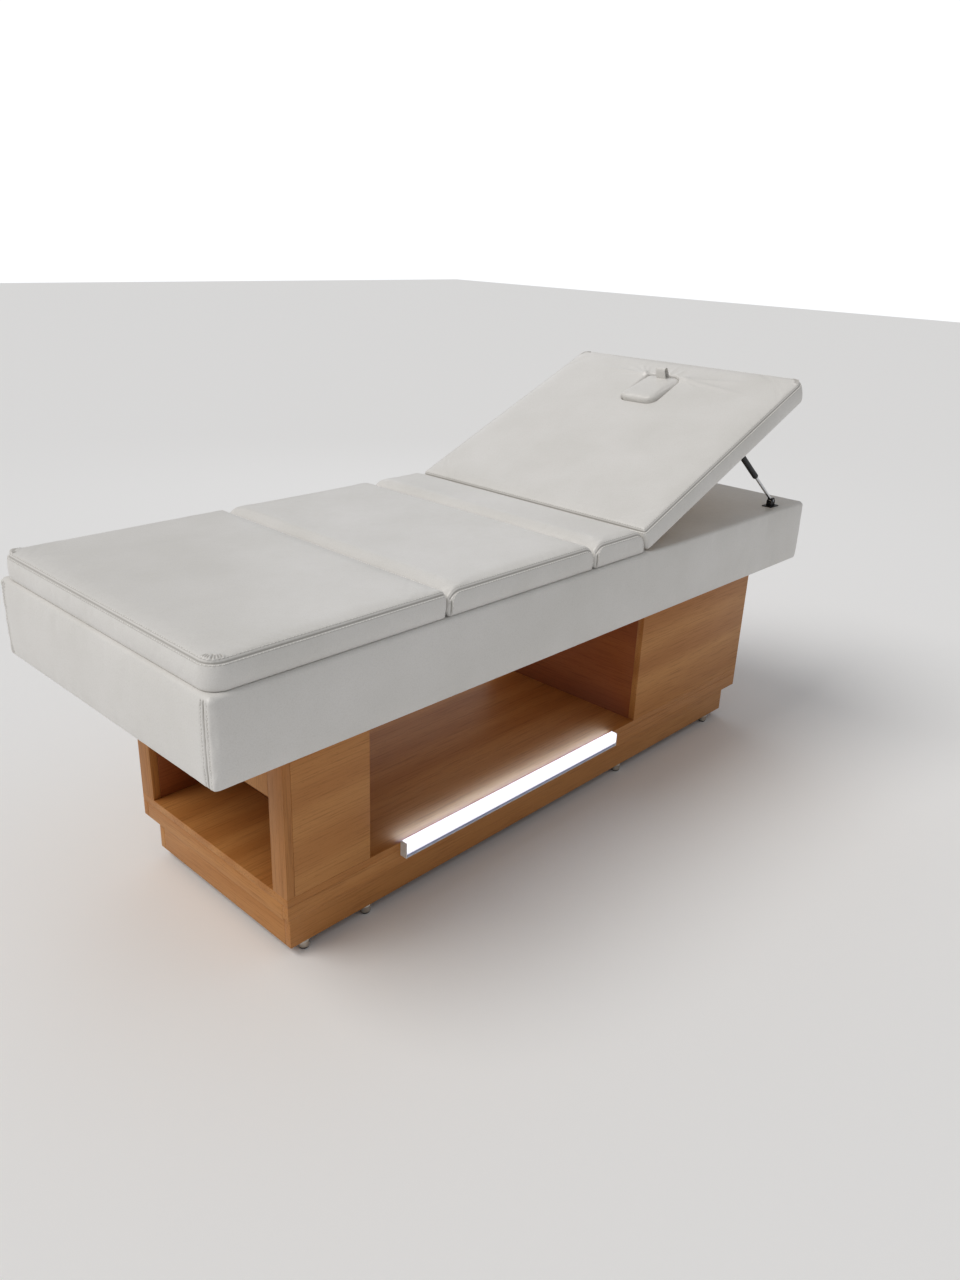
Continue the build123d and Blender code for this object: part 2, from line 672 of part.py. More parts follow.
# ---------------------------------------------------------------- light
def light():
    """Linear light on the shelf's near edge, with its driver and supply inlet."""
    x0 = base_foot + led_start
    x1 = x0 + led_length
    face = -base_half
    top = shelf_top + led_rise
    low = top - led_height
    front = face - led_depth
    rail = block(x0, x1, face - led_rail, face, low, shelf_top)
    rail += block(x0, x1, front, face, low, low + led_rail)
    save("led_rail", rail)
    shell = block(x0, x1, front, face - led_rail, low + led_rail + led_gap, top)
    rims = [e for e in shell.edges().filter_by(Axis.X) if abs(e.center().Y - front) < over]
    shell = fillet(rims, led_edge_radius)
    hollow = block(x0 - over, x1 + over, front + led_wall, face - led_rail + over,
                   low + led_rail + led_gap + led_wall, top - led_wall)
    rims = [e for e in hollow.edges().filter_by(Axis.X) if abs(e.center().Y - front - led_wall) < over]
    shell -= fillet(rims, led_edge_radius - led_wall)
    save("led_diffuser", shell)
    middle = (low + top) / 2
    back = face - led_rail
    strip = block(x0 + led_strip_margin, x1 - led_strip_margin, back - led_strip_thickness, back,
                  middle - led_strip_width / 2, middle + led_strip_width / 2)
    for x in spread(led_chips, x0, x1):
        strip += block(x - led_chip / 2, x + led_chip / 2, back - 2 * led_strip_thickness,
                       back - led_strip_thickness, middle - led_chip / 2, middle + led_chip / 2)
    save("led_strip", strip)
    caps = [block(*span, front, face, low, top) for span in ((x0 - led_cap, x0), (x1, x1 + led_cap))]
    save("led_end_caps", group(caps))
    length, width, height = driver_size
    x = head_block_foot + board
    driver = block(x, x + width, -length / 2, length / 2, shelf_top, shelf_top + height)
    save("led_driver", fillet(driver.edges().filter_by(Axis.X), driver_edge_radius))
    place = Pos(base_head, inlet_y, shelf_top + inlet_height) * Rot(0, 90, 0)
    inlet = Pos(0, 0, inlet_flange / 2) * Cylinder(inlet_radius, inlet_flange)
    inlet += Pos(0, 0, -inlet_length / 2) * Cylinder(inlet_radius - inlet_flange, inlet_length)
    inlet -= Pos(0, 0, inlet_flange) * Cylinder(inlet_hole_radius, 2 * inlet_hole_depth)
    save("power_inlet", place * inlet)


os.makedirs("parts", exist_ok=True)
glides()
plinth()
shelf()
foot_block()
head_block()
base_bolts()
tray()
fixed_cushions()
back_section()
face_plug()
hinges()
struts()
light()
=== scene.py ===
"""Looks of a treatment bed: cushions on an upholstered box tray, over a laminate base with a shelf light.

Lengths are metres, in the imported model's frame: +X runs from the foot end to the head end, +Z is up and the
near long side is at -Y. A finish gives its pattern sizes in millimetres, and its colours as sRGB hex values.
"""
import json
import logging
import math
from contextlib import contextmanager
from dataclasses import dataclass, field
from enum import Enum
from typing import Any, Iterator, Sequence

import bpy
import numpy as np
from mathutils import Matrix, Vector, noise
from mathutils.bvhtree import BVHTree

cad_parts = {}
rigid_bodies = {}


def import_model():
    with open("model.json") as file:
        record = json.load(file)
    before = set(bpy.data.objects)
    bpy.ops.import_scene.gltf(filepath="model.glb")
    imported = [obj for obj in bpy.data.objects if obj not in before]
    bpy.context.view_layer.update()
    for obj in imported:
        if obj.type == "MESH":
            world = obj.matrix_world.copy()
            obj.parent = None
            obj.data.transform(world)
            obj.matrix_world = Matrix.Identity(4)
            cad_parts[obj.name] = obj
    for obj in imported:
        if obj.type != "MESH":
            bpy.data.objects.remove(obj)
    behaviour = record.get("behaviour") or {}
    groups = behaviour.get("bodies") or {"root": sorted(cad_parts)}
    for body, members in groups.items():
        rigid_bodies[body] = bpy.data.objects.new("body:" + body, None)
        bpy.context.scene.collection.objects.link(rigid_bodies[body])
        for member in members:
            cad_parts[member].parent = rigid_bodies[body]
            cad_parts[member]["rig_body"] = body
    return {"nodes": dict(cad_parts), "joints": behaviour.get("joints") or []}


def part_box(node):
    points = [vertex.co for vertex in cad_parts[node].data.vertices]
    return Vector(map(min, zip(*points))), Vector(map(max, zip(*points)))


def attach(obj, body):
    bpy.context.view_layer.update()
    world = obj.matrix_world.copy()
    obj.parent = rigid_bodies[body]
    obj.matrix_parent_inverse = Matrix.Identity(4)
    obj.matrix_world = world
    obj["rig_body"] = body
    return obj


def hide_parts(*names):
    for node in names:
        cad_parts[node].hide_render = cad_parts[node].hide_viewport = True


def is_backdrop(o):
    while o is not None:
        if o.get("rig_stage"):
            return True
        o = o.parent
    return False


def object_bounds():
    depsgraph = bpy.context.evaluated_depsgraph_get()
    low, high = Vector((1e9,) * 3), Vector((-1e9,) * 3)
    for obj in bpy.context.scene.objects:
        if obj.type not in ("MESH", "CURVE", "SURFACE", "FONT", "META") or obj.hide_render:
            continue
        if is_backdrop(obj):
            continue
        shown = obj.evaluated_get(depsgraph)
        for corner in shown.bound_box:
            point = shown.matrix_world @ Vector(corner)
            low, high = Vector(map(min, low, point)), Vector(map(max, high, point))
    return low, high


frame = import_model()
cad_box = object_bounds()

log = logging.getLogger("treatment_bed")
MM = 0.001


# ---------------------------------------------------------------- modelling helpers
def only(piece: bpy.types.Object) -> None:
    """Selects one piece and makes it active, with everything else deselected."""
    bpy.ops.object.select_all(action="DESELECT")
    piece.select_set(True)
    bpy.context.view_layer.objects.active = piece


@contextmanager
def editing(piece: bpy.types.Object, mode: str = "FACE") -> Iterator[None]:
    """Edit mode on one piece, with the selection that its mesh holds.

    Args:
        piece: the mesh to edit.
        mode: "VERT", "EDGE" or "FACE".
    """
    only(piece)
    bpy.ops.object.mode_set(mode="EDIT")
    bpy.ops.mesh.select_mode(type=mode)
    yield
    bpy.ops.object.mode_set(mode="OBJECT")


def select_faces(piece: bpy.types.Object, wanted: np.ndarray) -> None:
    """Selects only the wanted faces of a mesh.

    Args:
        piece: the mesh.
        wanted: one truth value for each face.
    """
    mesh = piece.data
    mesh.vertices.foreach_set("select", np.zeros(len(mesh.vertices), bool))
    mesh.edges.foreach_set("select", np.zeros(len(mesh.edges), bool))
    mesh.polygons.foreach_set("select", wanted.astype(bool))


def face_centres(piece: bpy.types.Object) -> np.ndarray:
    """The middle of each face, one row for each."""
    centres = np.empty(len(piece.data.polygons) * 3)
    piece.data.polygons.foreach_get("center", centres)
    return centres.reshape(-1, 3)


def points_of(piece: bpy.types.Object) -> np.ndarray:
    """The vertices of a mesh, one row for each."""
    points = np.empty(len(piece.data.vertices) * 3)
    piece.data.vertices.foreach_get("co", points)
    return points.reshape(-1, 3)


def move_points(piece: bpy.types.Object, points: np.ndarray) -> None:
    """Puts the vertices of a mesh at new points, one row for each."""
    piece.data.vertices.foreach_set("co", points.reshape(-1))
    piece.data.update()


def point_normals(piece: bpy.types.Object) -> np.ndarray:
    """The outward direction at each vertex, one row for each."""
    normals = np.empty(len(piece.data.vertices) * 3)
    piece.data.vertex_normals.foreach_get("vector", normals)
    return normals.reshape(-1, 3)


def modify(piece: bpy.types.Object, kind: str, **settings: Any) -> None:
    """Adds a modifier to a piece and applies it.

    Args:
        piece: the mesh to change.
        kind: the modifier's type, such as "BEVEL".
        **settings: the modifier's own settings.
    """
    only(piece)
    modifier = piece.modifiers.new(kind.title(), kind)
    for name, value in settings.items():
        setattr(modifier, name, value)
    bpy.ops.object.modifier_apply(modifier=modifier.name)


def smooth(piece: bpy.types.Object, angle: float = 35.0) -> None:
    """Shades a piece smooth, with a crease where faces meet at more than an angle in degrees."""
    only(piece)
    bpy.ops.object.shade_smooth_by_angle(angle=math.radians(angle), keep_sharp_edges=False)


def settle(piece: bpy.types.Object, name: str) -> bpy.types.Object:
    """Names a piece and puts its place, turn and scale into its mesh.

    Args:
        piece: the mesh.
        name: its name.

    Returns:
        The piece.
    """
    only(piece)
    bpy.ops.object.transform_apply(location=True, rotation=True, scale=True)
    piece.name = name
    piece.data.name = name
    return piece


def repeated(name: str, pattern: bpy.types.Object, places: Sequence[Matrix]) -> bpy.types.Object:
    """One piece made of a small mesh repeated at many places.

    Args:
        name: the piece's name.
        pattern: the mesh to repeat, which is then removed.
        places: where each copy goes.

    Returns:
        The piece.
    """
    shape = points_of(pattern)
    faces = [tuple(face.vertices) for face in pattern.data.polygons]
    corners = np.concatenate([shape @ np.array(m.to_3x3()).T + np.array(m.translation) for m in places])
    mesh = bpy.data.meshes.new(name)
    loops = [tuple(v + copy * len(shape) for v in face) for copy in range(len(places)) for face in faces]
    mesh.from_pydata(corners.tolist(), [], loops)
    mesh.polygons.foreach_set("use_smooth", np.ones(len(loops), bool))
    bpy.data.objects.remove(pattern)
    piece = bpy.data.objects.new(name, mesh)
    bpy.context.scene.collection.objects.link(piece)
    return piece


def fit_out(piece: bpy.types.Object, finish: "Finish", body: str, slot: str,
            nodes: Sequence[str] = ()) -> None:
    """Gives a piece its material and its body, and hides the CAD nodes that it stands for.

    Args:
        piece: the finished mesh.
        finish: its surface.
        body: the body that it moves with.
        slot: the record's material slot, not used.
        nodes: the CAD nodes that it replaces.
    """
    piece.data.materials.clear()
    piece.data.materials.append(finish.material())
    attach(piece, body)
    if nodes:
        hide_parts(*nodes)
    log.info("%s: %d faces, on %s", piece.name, len(piece.data.polygons), body)


# ---------------------------------------------------------------- finishes
def linear(code: str) -> tuple[float, float, float, float]:
    """Turns an sRGB hex colour into linear light.

    Args:
        code: six hex digits.

    Returns:
        Red, green, blue and an alpha of one.
    """
    shares = [int(code[i:i + 2], 16) / 255 for i in (0, 2, 4)]
    light = [s / 12.92 if s <= 0.04045 else ((s + 0.055) / 1.055) ** 2.4 for s in shares]
    return (*light, 1.0)


def put(tree: bpy.types.NodeTree, kind: str, sockets: dict[str | int, Any] | None = None,
        **settings: Any) -> bpy.types.Node:
    """Adds a node with its settings, and with values or links on its inputs.

    Args:
        tree: the node tree.
        kind: the node's type.
        sockets: for an input's name or number, a value or the output that feeds it.
        **settings: the node's own settings.

    Returns:
        The node.
    """
    node = tree.nodes.new(kind)
    for name, value in settings.items():
        setattr(node, name, value)
    for name, value in (sockets or {}).items():
        if isinstance(value, bpy.types.NodeSocket):
            tree.links.new(value, node.inputs[name])
        else:
            node.inputs[name].default_value = value
    return node


def blended(tree: bpy.types.NodeTree, share: bpy.types.NodeSocket, low: Any,
            high: Any) -> bpy.types.NodeSocket:
    """Mixes two colours by a share.

    Args:
        tree: the node tree.
        share: the output that says how much of the second colour shows.
        low: the first colour, or the output that gives it.
        high: the second colour, or the output that gives it.

    Returns:
        The mixed colour's output.
    """
    mix = put(tree, "ShaderNodeMix", {0: share, 6: low, 7: high}, data_type="RGBA")
    return mix.outputs[2]


def ranged(tree: bpy.types.NodeTree, value: bpy.types.NodeSocket, span: tuple[float, float],
           to: tuple[float, float]) -> bpy.types.NodeSocket:
    """Maps a value's span onto another.

    Args:
        tree: the node tree.
        value: the output to map.
        span: its low and high ends.
        to: what they become.

    Returns:
        The mapped output.
    """
    sockets = {"Value": value, "From Min": span[0], "From Max": span[1], "To Min": to[0], "To Max": to[1]}
    return put(tree, "ShaderNodeMapRange", sockets).outputs["Result"]


class Grain(Enum):
    """Which way a board's grain runs: the turn that brings it onto the pattern's own X axis."""

    ALONG = (0.0, 0.0, 0.0)
    ACROSS = (0.0, 0.0, math.pi / 2)
    UPRIGHT = (0.0, math.pi / 2, 0.0)


@dataclass(frozen=True)
class Finish:
    """A named surface with a procedural node tree."""

    name: str

    def material(self) -> bpy.types.Material:
        """The material, made at its first use."""
        made = bpy.data.materials.get(self.name)
        if made is None:
            made = bpy.data.materials.new(self.name)
            made.use_nodes = True
            tree = made.node_tree
            tree.nodes.clear()
            shader = put(tree, "ShaderNodeBsdfPrincipled")
            put(tree, "ShaderNodeOutputMaterial", {"Surface": shader.outputs["BSDF"]})
            self.dress(tree, shader)
        return made

    def dress(self, tree: bpy.types.NodeTree, shader: bpy.types.Node) -> None:
        """Lays the surface's pattern on the shader.

        Args:
            tree: the node tree.
            shader: its Principled shader.
        """
        raise NotImplementedError

    def place(self, tree: bpy.types.NodeTree, turn: tuple[float, float, float] = (0.0, 0.0, 0.0),
              stretch: tuple[float, float, float] = (1.0, 1.0, 1.0),
              shift: tuple[float, float, float] = (0.0, 0.0, 0.0)) -> bpy.types.NodeSocket:
        """The object's own coordinates, turned, then stretched.

        Args:
            tree: the node tree.
            turn: turn about each axis, in radians.
            stretch: scale of the turned axes.
            shift: offset of the turned axes, in metres.

        Returns:
            The output to feed a pattern with.
        """
        own = put(tree, "ShaderNodeTexCoord").outputs["Object"]
        turned = put(tree, "ShaderNodeMapping", {"Vector": own, "Rotation": turn}).outputs["Vector"]
        sockets = {"Vector": turned, "Scale": stretch, "Location": shift}
        return put(tree, "ShaderNodeMapping", sockets).outputs["Vector"]

    def mottle(self, tree: bpy.types.NodeTree, where: bpy.types.NodeSocket, size_mm: float,
               detail: float = 2.0, rough: float = 0.5) -> bpy.types.NodeSocket:
        """Soft noise whose blots are about a size across.

        Args:
            tree: the node tree.
            where: the coordinates.
            size_mm: the blots' size.
            detail: how many finer layers it has.
            rough: how strong they are.

        Returns:
            The noise, about 0.5.
        """
        sockets = {"Vector": where, "Scale": 1 / (size_mm * MM), "Detail": detail, "Roughness": rough}
        return put(tree, "ShaderNodeTexNoise", sockets).outputs["Fac"]


@dataclass(frozen=True)
class Leatherette(Finish):
    """Knitted cloth with an embossed polyurethane coat: a fine pebble with a soft, slightly uneven sheen."""

    name: str = "ivory_pu_leatherette"
    light: str = "E3E1DE"
    deep: str = "DCDAD6"
    seam_shadow: str = "7A756C"  # painted shade drawn in seams, grooves and gathers
    pebble_mm: float = 2.2  # the real pebble is about 1 mm, drawn coarser so that it shows
    pebble_depth_mm: float = 0.07
    crumple_mm: float = 17.0
    crumple_depth_mm: float = 0.25
    blot_mm: float = 160.0

    def dress(self, tree: bpy.types.NodeTree, shader: bpy.types.Node) -> None:
        """Mottled ivory, with painted shade in seams and in the pebble's hollows, and crumple and pebble in
        its bump.
        """
        where = self.place(tree)
        blots = self.mottle(tree, where, self.blot_mm, 3.0)
        crumple = self.mottle(tree, where, self.crumple_mm, 2.0, 0.55)
        cells = put(tree, "ShaderNodeTexVoronoi", {"Vector": where, "Scale": 1 / (self.pebble_mm * MM)},
                    feature="SMOOTH_F1")
        share = ranged(tree, blots, (0.3, 0.7), (0.0, 1.0))
        tone = blended(tree, share, linear(self.light), linear(self.deep))
        # Painted shade: the pebble's hollows are drawn slightly darker.
        hollow = ranged(tree, cells.outputs["Distance"], (0.25, 0.75), (0.0, 0.10))
        pebble_shaded = blended(tree, hollow, tone, linear("A8A297"))
        # Painted shade: the seam_shade attribute darkens the colour in seams, grooves and gathers, where
        # shade falls.
        seam = put(tree, "ShaderNodeAttribute", attribute_name=PaddedForm.shade_name).outputs["Fac"]
        seam_shadow_share = ranged(tree, seam, (0.1, 1.0), (0.0, 0.7))
        tree.links.new(blended(tree, seam_shadow_share, pebble_shaded, linear(self.seam_shadow)), shader.inputs["Base Color"])
        sheen = ranged(tree, crumple, (0.3, 0.7), (0.29, 0.39))
        tree.links.new(sheen, shader.inputs["Roughness"])
        folds = put(tree, "ShaderNodeBump", {"Height": crumple, "Strength": 0.5,
                                             "Distance": self.crumple_depth_mm * MM})
        pebble = put(tree, "ShaderNodeBump", {"Height": cells.outputs["Distance"], "Strength": 0.6,
                                              "Distance": self.pebble_depth_mm * MM,
                                              "Normal": folds.outputs["Normal"]}, invert=True)
        tree.links.new(pebble.outputs["Normal"], shader.inputs["Normal"])
        shader.inputs["IOR"].default_value = 1.5
        shader.inputs["Sheen Weight"].default_value = 0.08


@dataclass(frozen=True)
class BeechLaminate(Finish):
    """Melamine-faced chipboard printed as beech: straight fine grain, wandering figure and short flecks."""

    name: str = "beech_laminate_along"
    grain: Grain = Grain.ALONG
    shift: float = 0.0
    light: str = "C59057"
    middle: str = "AE753D"
    dark: str = "7C491C"
    figure_mm: float = 46.0
    fibre_mm: float = 3.6  # real fibres are finer, drawn coarser so that they show
    fleck_mm: float = 1.4
    flow: float = 0.085  # how short the figure is across the grain, against along it

    def dress(self, tree: bpy.types.NodeTree, shader: bpy.types.Node) -> None:
        """Rings cut at a slant for the figure, with fibres and flecks along the grain."""
        slant = (0.05, 0.035, 0.0)
        turn = tuple(a + b for a, b in zip(self.grain.value, slant))
        long = self.place(tree, turn, (self.flow, 1.0, 1.0), (self.shift, 1.7 * self.shift, 0.6 * self.shift))
        fine = self.place(tree, self.grain.value, (0.03, 1.0, 1.0), (0.0, self.shift, 0.0))
        rings = put(tree, "ShaderNodeTexWave",
                    {"Vector": long, "Scale": 1 / (self.figure_mm * MM) / 6.3, "Distortion": 5.5,
                     "Detail": 3.0, "Detail Scale": 1.1, "Detail Roughness": 0.62},
                    wave_type="RINGS", rings_direction="X", wave_profile="SIN").outputs["Fac"]
        drift = self.mottle(tree, long, 70.0, 3.0)
        fibres = self.mottle(tree, fine, self.fibre_mm, 3.0, 0.65)
        flecks = self.mottle(tree, self.place(tree, self.grain.value, (0.12, 1.0, 1.0)), self.fleck_mm, 1.0)
        figure = blended(tree, ranged(tree, rings, (0.1, 0.95), (0.0, 0.55)), linear(self.light),
                         linear(self.middle))
        warm = blended(tree, ranged(tree, drift, (0.38, 0.68), (0.0, 0.5)), figure, linear(self.middle))
        streaked = blended(tree, ranged(tree, fibres, (0.5, 0.78), (0.0, 0.55)), warm, linear(self.dark))
        flecked = blended(tree, ranged(tree, flecks, (0.64, 0.76), (0.0, 0.35)), streaked, linear(self.dark))
        tree.links.new(flecked, shader.inputs["Base Color"])
        tree.links.new(ranged(tree, fibres, (0.3, 0.7), (0.4, 0.5)), shader.inputs["Roughness"])
        bump = put(tree, "ShaderNodeBump", {"Height": fibres, "Strength": 0.35, "Distance": 0.05 * MM})
        tree.links.new(bump.outputs["Normal"], shader.inputs["Normal"])
        shader.inputs["IOR"].default_value = 1.5


@dataclass(frozen=True)
class Plywood(Finish):
    """Poplar plywood: pale veneer faces, and thin plies that alternate on the cut edges."""

    name: str = "poplar_plywood"
    face: str = "D8BE94"
    ply: str = "A98757"
    ply_mm: float = 1.5
    tilt: float = 0.0

    def dress(self, tree: bpy.types.NodeTree, shader: bpy.types.Node) -> None:
        """Plies across the thickness, under the veneer's long fibres."""
        where = self.place(tree, (0.0, self.tilt, 0.0))
        plies = put(tree, "ShaderNodeTexWave", {"Vector": where, "Scale": 1 / (self.ply_mm * MM) / 12.6},
                    wave_type="BANDS", bands_direction="Z").outputs["Fac"]
        fibres = self.mottle(tree, self.place(tree, (0.0, self.tilt, 0.0), (0.04, 1.0, 1.0)), 4.0, 3.0, 0.6)
        edge = ranged(tree, plies, (0.35, 0.65), (0.0, 0.35))
        base = blended(tree, edge, linear(self.face), linear(self.ply))
        tone = blended(tree, ranged(tree, fibres, (0.45, 0.75), (0.0, 0.5)), base, linear(self.ply))
        tree.links.new(tone, shader.inputs["Base Color"])
        tree.links.new(ranged(tree, fibres, (0.3, 0.7), (0.62, 0.78)), shader.inputs["Roughness"])
        bump = put(tree, "ShaderNodeBump", {"Height": fibres, "Strength": 0.4, "Distance": 0.12 * MM})
        tree.links.new(bump.outputs["Normal"], shader.inputs["Normal"])


@dataclass(frozen=True)
class Metal(Finish):
    """Bare or plated metal whose gloss wanders a little, drawn or brushed along one axis."""

    name: str = "zinc_plated_steel"
    colour: str = "B9BCC2"
    stain: str = "9EA2A8"
    rough: tuple[float, float] = (0.26, 0.38)
    stretch: tuple[float, float, float] = (1.0, 1.0, 1.0)
    grit_mm: float = 1.5

    def dress(self, tree: bpy.types.NodeTree, shader: bpy.types.Node) -> None:
        """Fine brushing, and blots in the plating."""
        where = self.place(tree, stretch=self.stretch)
        brush = self.mottle(tree, where, self.grit_mm, 2.0, 0.6)
        blots = self.mottle(tree, self.place(tree), 14.0, 2.0)
        share = ranged(tree, blots, (0.35, 0.7), (0.0, 1.0))
        tone = blended(tree, share, linear(self.colour), linear(self.stain))
        tree.links.new(tone, shader.inputs["Base Color"])
        tree.links.new(ranged(tree, brush, (0.3, 0.7), self.rough), shader.inputs["Roughness"])
        bump = put(tree, "ShaderNodeBump", {"Height": brush, "Strength": 0.15, "Distance": 0.02 * MM})
        tree.links.new(bump.outputs["Normal"], shader.inputs["Normal"])
        shader.inputs["Metallic"].default_value = 1.0


@dataclass(frozen=True)
class Moulded(Finish):
    """Moulded plastic or sprayed paint: one colour with a light spark-eroded or orange-peel texture."""

    name: str = "white_abs"
    colour: str = "E8E8E6"
    worn: str = "D4D4D0"
    rough: tuple[float, float] = (0.35, 0.45)
    grit_mm: float = 0.9
    depth_mm: float = 0.03
    index: float = 1.53

    def dress(self, tree: bpy.types.NodeTree, shader: bpy.types.Node) -> None:
        """Fine texture in the bump, slight clouding in the colour."""
        where = self.place(tree)
        grit = self.mottle(tree, where, self.grit_mm, 2.0, 0.6)
        cloud = self.mottle(tree, where, 22.0, 2.0)
        share = ranged(tree, cloud, (0.4, 0.75), (0.0, 0.8))
        tone = blended(tree, share, linear(self.colour), linear(self.worn))
        tree.links.new(tone, shader.inputs["Base Color"])
        tree.links.new(ranged(tree, cloud, (0.3, 0.7), self.rough), shader.inputs["Roughness"])
        bump = put(tree, "ShaderNodeBump", {"Height": grit, "Strength": 0.4, "Distance": self.depth_mm * MM})
        tree.links.new(bump.outputs["Normal"], shader.inputs["Normal"])
        shader.inputs["IOR"].default_value = self.index


@dataclass(frozen=True)
class OpalDiffuser(Finish):
    """Opal acrylic lit from behind: even cool white light with a satin skin."""

    name: str = "opal_acrylic_lit"
    colour: str = "F4F6FF"
    glow: str = "F3F1FF"
    strength: float = 1.15
    dim: str = "54545C"
    dim_share: float = 0.42  # share of the height that fades

    def dress(self, tree: bpy.types.NodeTree, shader: bpy.types.Node) -> None:
        """A lit skin with slight haze, dimmer along the bottom, where the rail shades it."""
        haze = self.mottle(tree, self.place(tree), 30.0, 2.0)
        tone = blended(tree, haze, linear(self.colour), linear("E9ECF8"))
        tree.links.new(tone, shader.inputs["Base Color"])
        tree.links.new(ranged(tree, haze, (0.3, 0.7), (0.3, 0.4)), shader.inputs["Roughness"])
        height = put(tree, "ShaderNodeSeparateXYZ", {"Vector": self.place(tree)}).outputs["Z"]
        low, high = (corner.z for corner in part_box("led_diffuser"))
        share = ranged(tree, height, (low, low + self.dim_share * (high - low)), (0.0, 1.0))
        glow = blended(tree, share, linear(self.dim), linear(self.glow))
        tree.links.new(glow, shader.inputs["Emission Color"])
        shader.inputs["IOR"].default_value = 1.49
        shader.inputs["Emission Strength"].default_value = self.strength


@dataclass(frozen=True)
class Thread(Finish):
    """Bonded polyester sewing thread: twisted plies with a slight lustre."""

    name: str = "ivory_polyester_thread"
    light: str = "F6F5F2"
    deep: str = "CFCBC3"
    ply_mm: float = 1.2

    def dress(self, tree: bpy.types.NodeTree, shader: bpy.types.Node) -> None:
        """Twist as slanted bands."""
        where = self.place(tree, (0.5, 0.4, 0.7))
        plies = put(tree, "ShaderNodeTexWave", {"Vector": where, "Scale": 1 / (self.ply_mm * MM) / 6.3},
                    wave_type="BANDS", bands_direction="X").outputs["Fac"]
        share = ranged(tree, plies, (0.2, 0.8), (0.0, 0.6))
        tone = blended(tree, share, linear(self.light), linear(self.deep))
        tree.links.new(tone, shader.inputs["Base Color"])
        bump = put(tree, "ShaderNodeBump", {"Height": plies, "Strength": 0.5, "Distance": 0.08 * MM})
        tree.links.new(bump.outputs["Normal"], shader.inputs["Normal"])
        shader.inputs["Roughness"].default_value = 0.55


LEATHERETTE = Leatherette()
THREAD = Thread()
BLACK_PAINT = Moulded("black_sprayed_steel", "101012", "1C1C1F", (0.28, 0.42), 1.1, 0.04, 1.5)
CHROME = Metal("chrome_plated_rod", "D2D3D5", "C3C5C8", (0.07, 0.14), (1.0, 1.0, 1.0), 3.0)
ZINC = Metal()
NICKEL = Metal("nickel_plated_steel", "CFCAC1", "B8B2A8", (0.1, 0.22), (1.0, 1.0, 1.0), 3.0)
ANODISED = Metal("anodised_aluminium", "DCDEE2", "CFD1D6", (0.34, 0.46), (0.03, 1.0, 1.0), 0.8)
WHITE_ABS = Moulded()
BLACK_ABS = Moulded("black_abs", "141414", "202020", (0.38, 0.5), 1.0, 0.04, 1.53)
NYLON = Moulded("black_nylon", "1B1B1B", "2A2A29", (0.5, 0.62), 0.8, 0.05, 1.53)
SOLDER_MASK = Moulded("white_solder_mask", "E4E2D6", "CFCBB4", (0.4, 0.5), 3.0, 0.06, 1.5)
OPAL = OpalDiffuser()


# ---------------------------------------------------------------- the back's hinge
@dataclass(frozen=True)
class BackHinge:
    """The axis that the back turns on, and how far above flat it stands at rest."""

    centre: Vector
    angle: float

    @classmethod
    def from_frame(cls) -> "BackHinge":
        """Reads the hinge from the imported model's joints."""
        joint = next(j for j in frame["joints"] if j["name"] == "back_lift")
        return cls(Vector(joint["pos_m"]), -math.radians(joint["range_deg"][0]))

    def turn(self, angle: float) -> Matrix:
        """The turn by an angle about the hinge's axis."""
        there = Matrix.Translation(self.centre)
        return there @ Matrix.Rotation(angle, 4, (0, -1, 0)) @ there.inverted()

    def raised(self) -> Matrix:
        """Takes a thing from the flat back to the back at rest."""
        return self.turn(self.angle)

    def flat_box(self, node: str) -> tuple[Vector, Vector]:
        """A node's lowest and highest corners with the back laid flat.

        Args:
            node: a CAD node on the back.

        Returns:
            The two corners.
        """
        lay = np.array(self.turn(-self.angle))
        points = points_of(frame["nodes"][node]) @ lay[:3, :3].T + lay[:3, 3]
        return Vector(points.min(0)), Vector(points.max(0))


# ---------------------------------------------------------------- padded forms
@dataclass(frozen=True)
class Crease:
    """A raised fold, or a groove where its height is negative, along a straight run of the cover."""

    start: Vector
    end: Vector
    width: float
    height: float
    shade: float = 0.0  # how much painted shade darkens the crease, up to one
    even: bool = False  # as high at its end as at its start


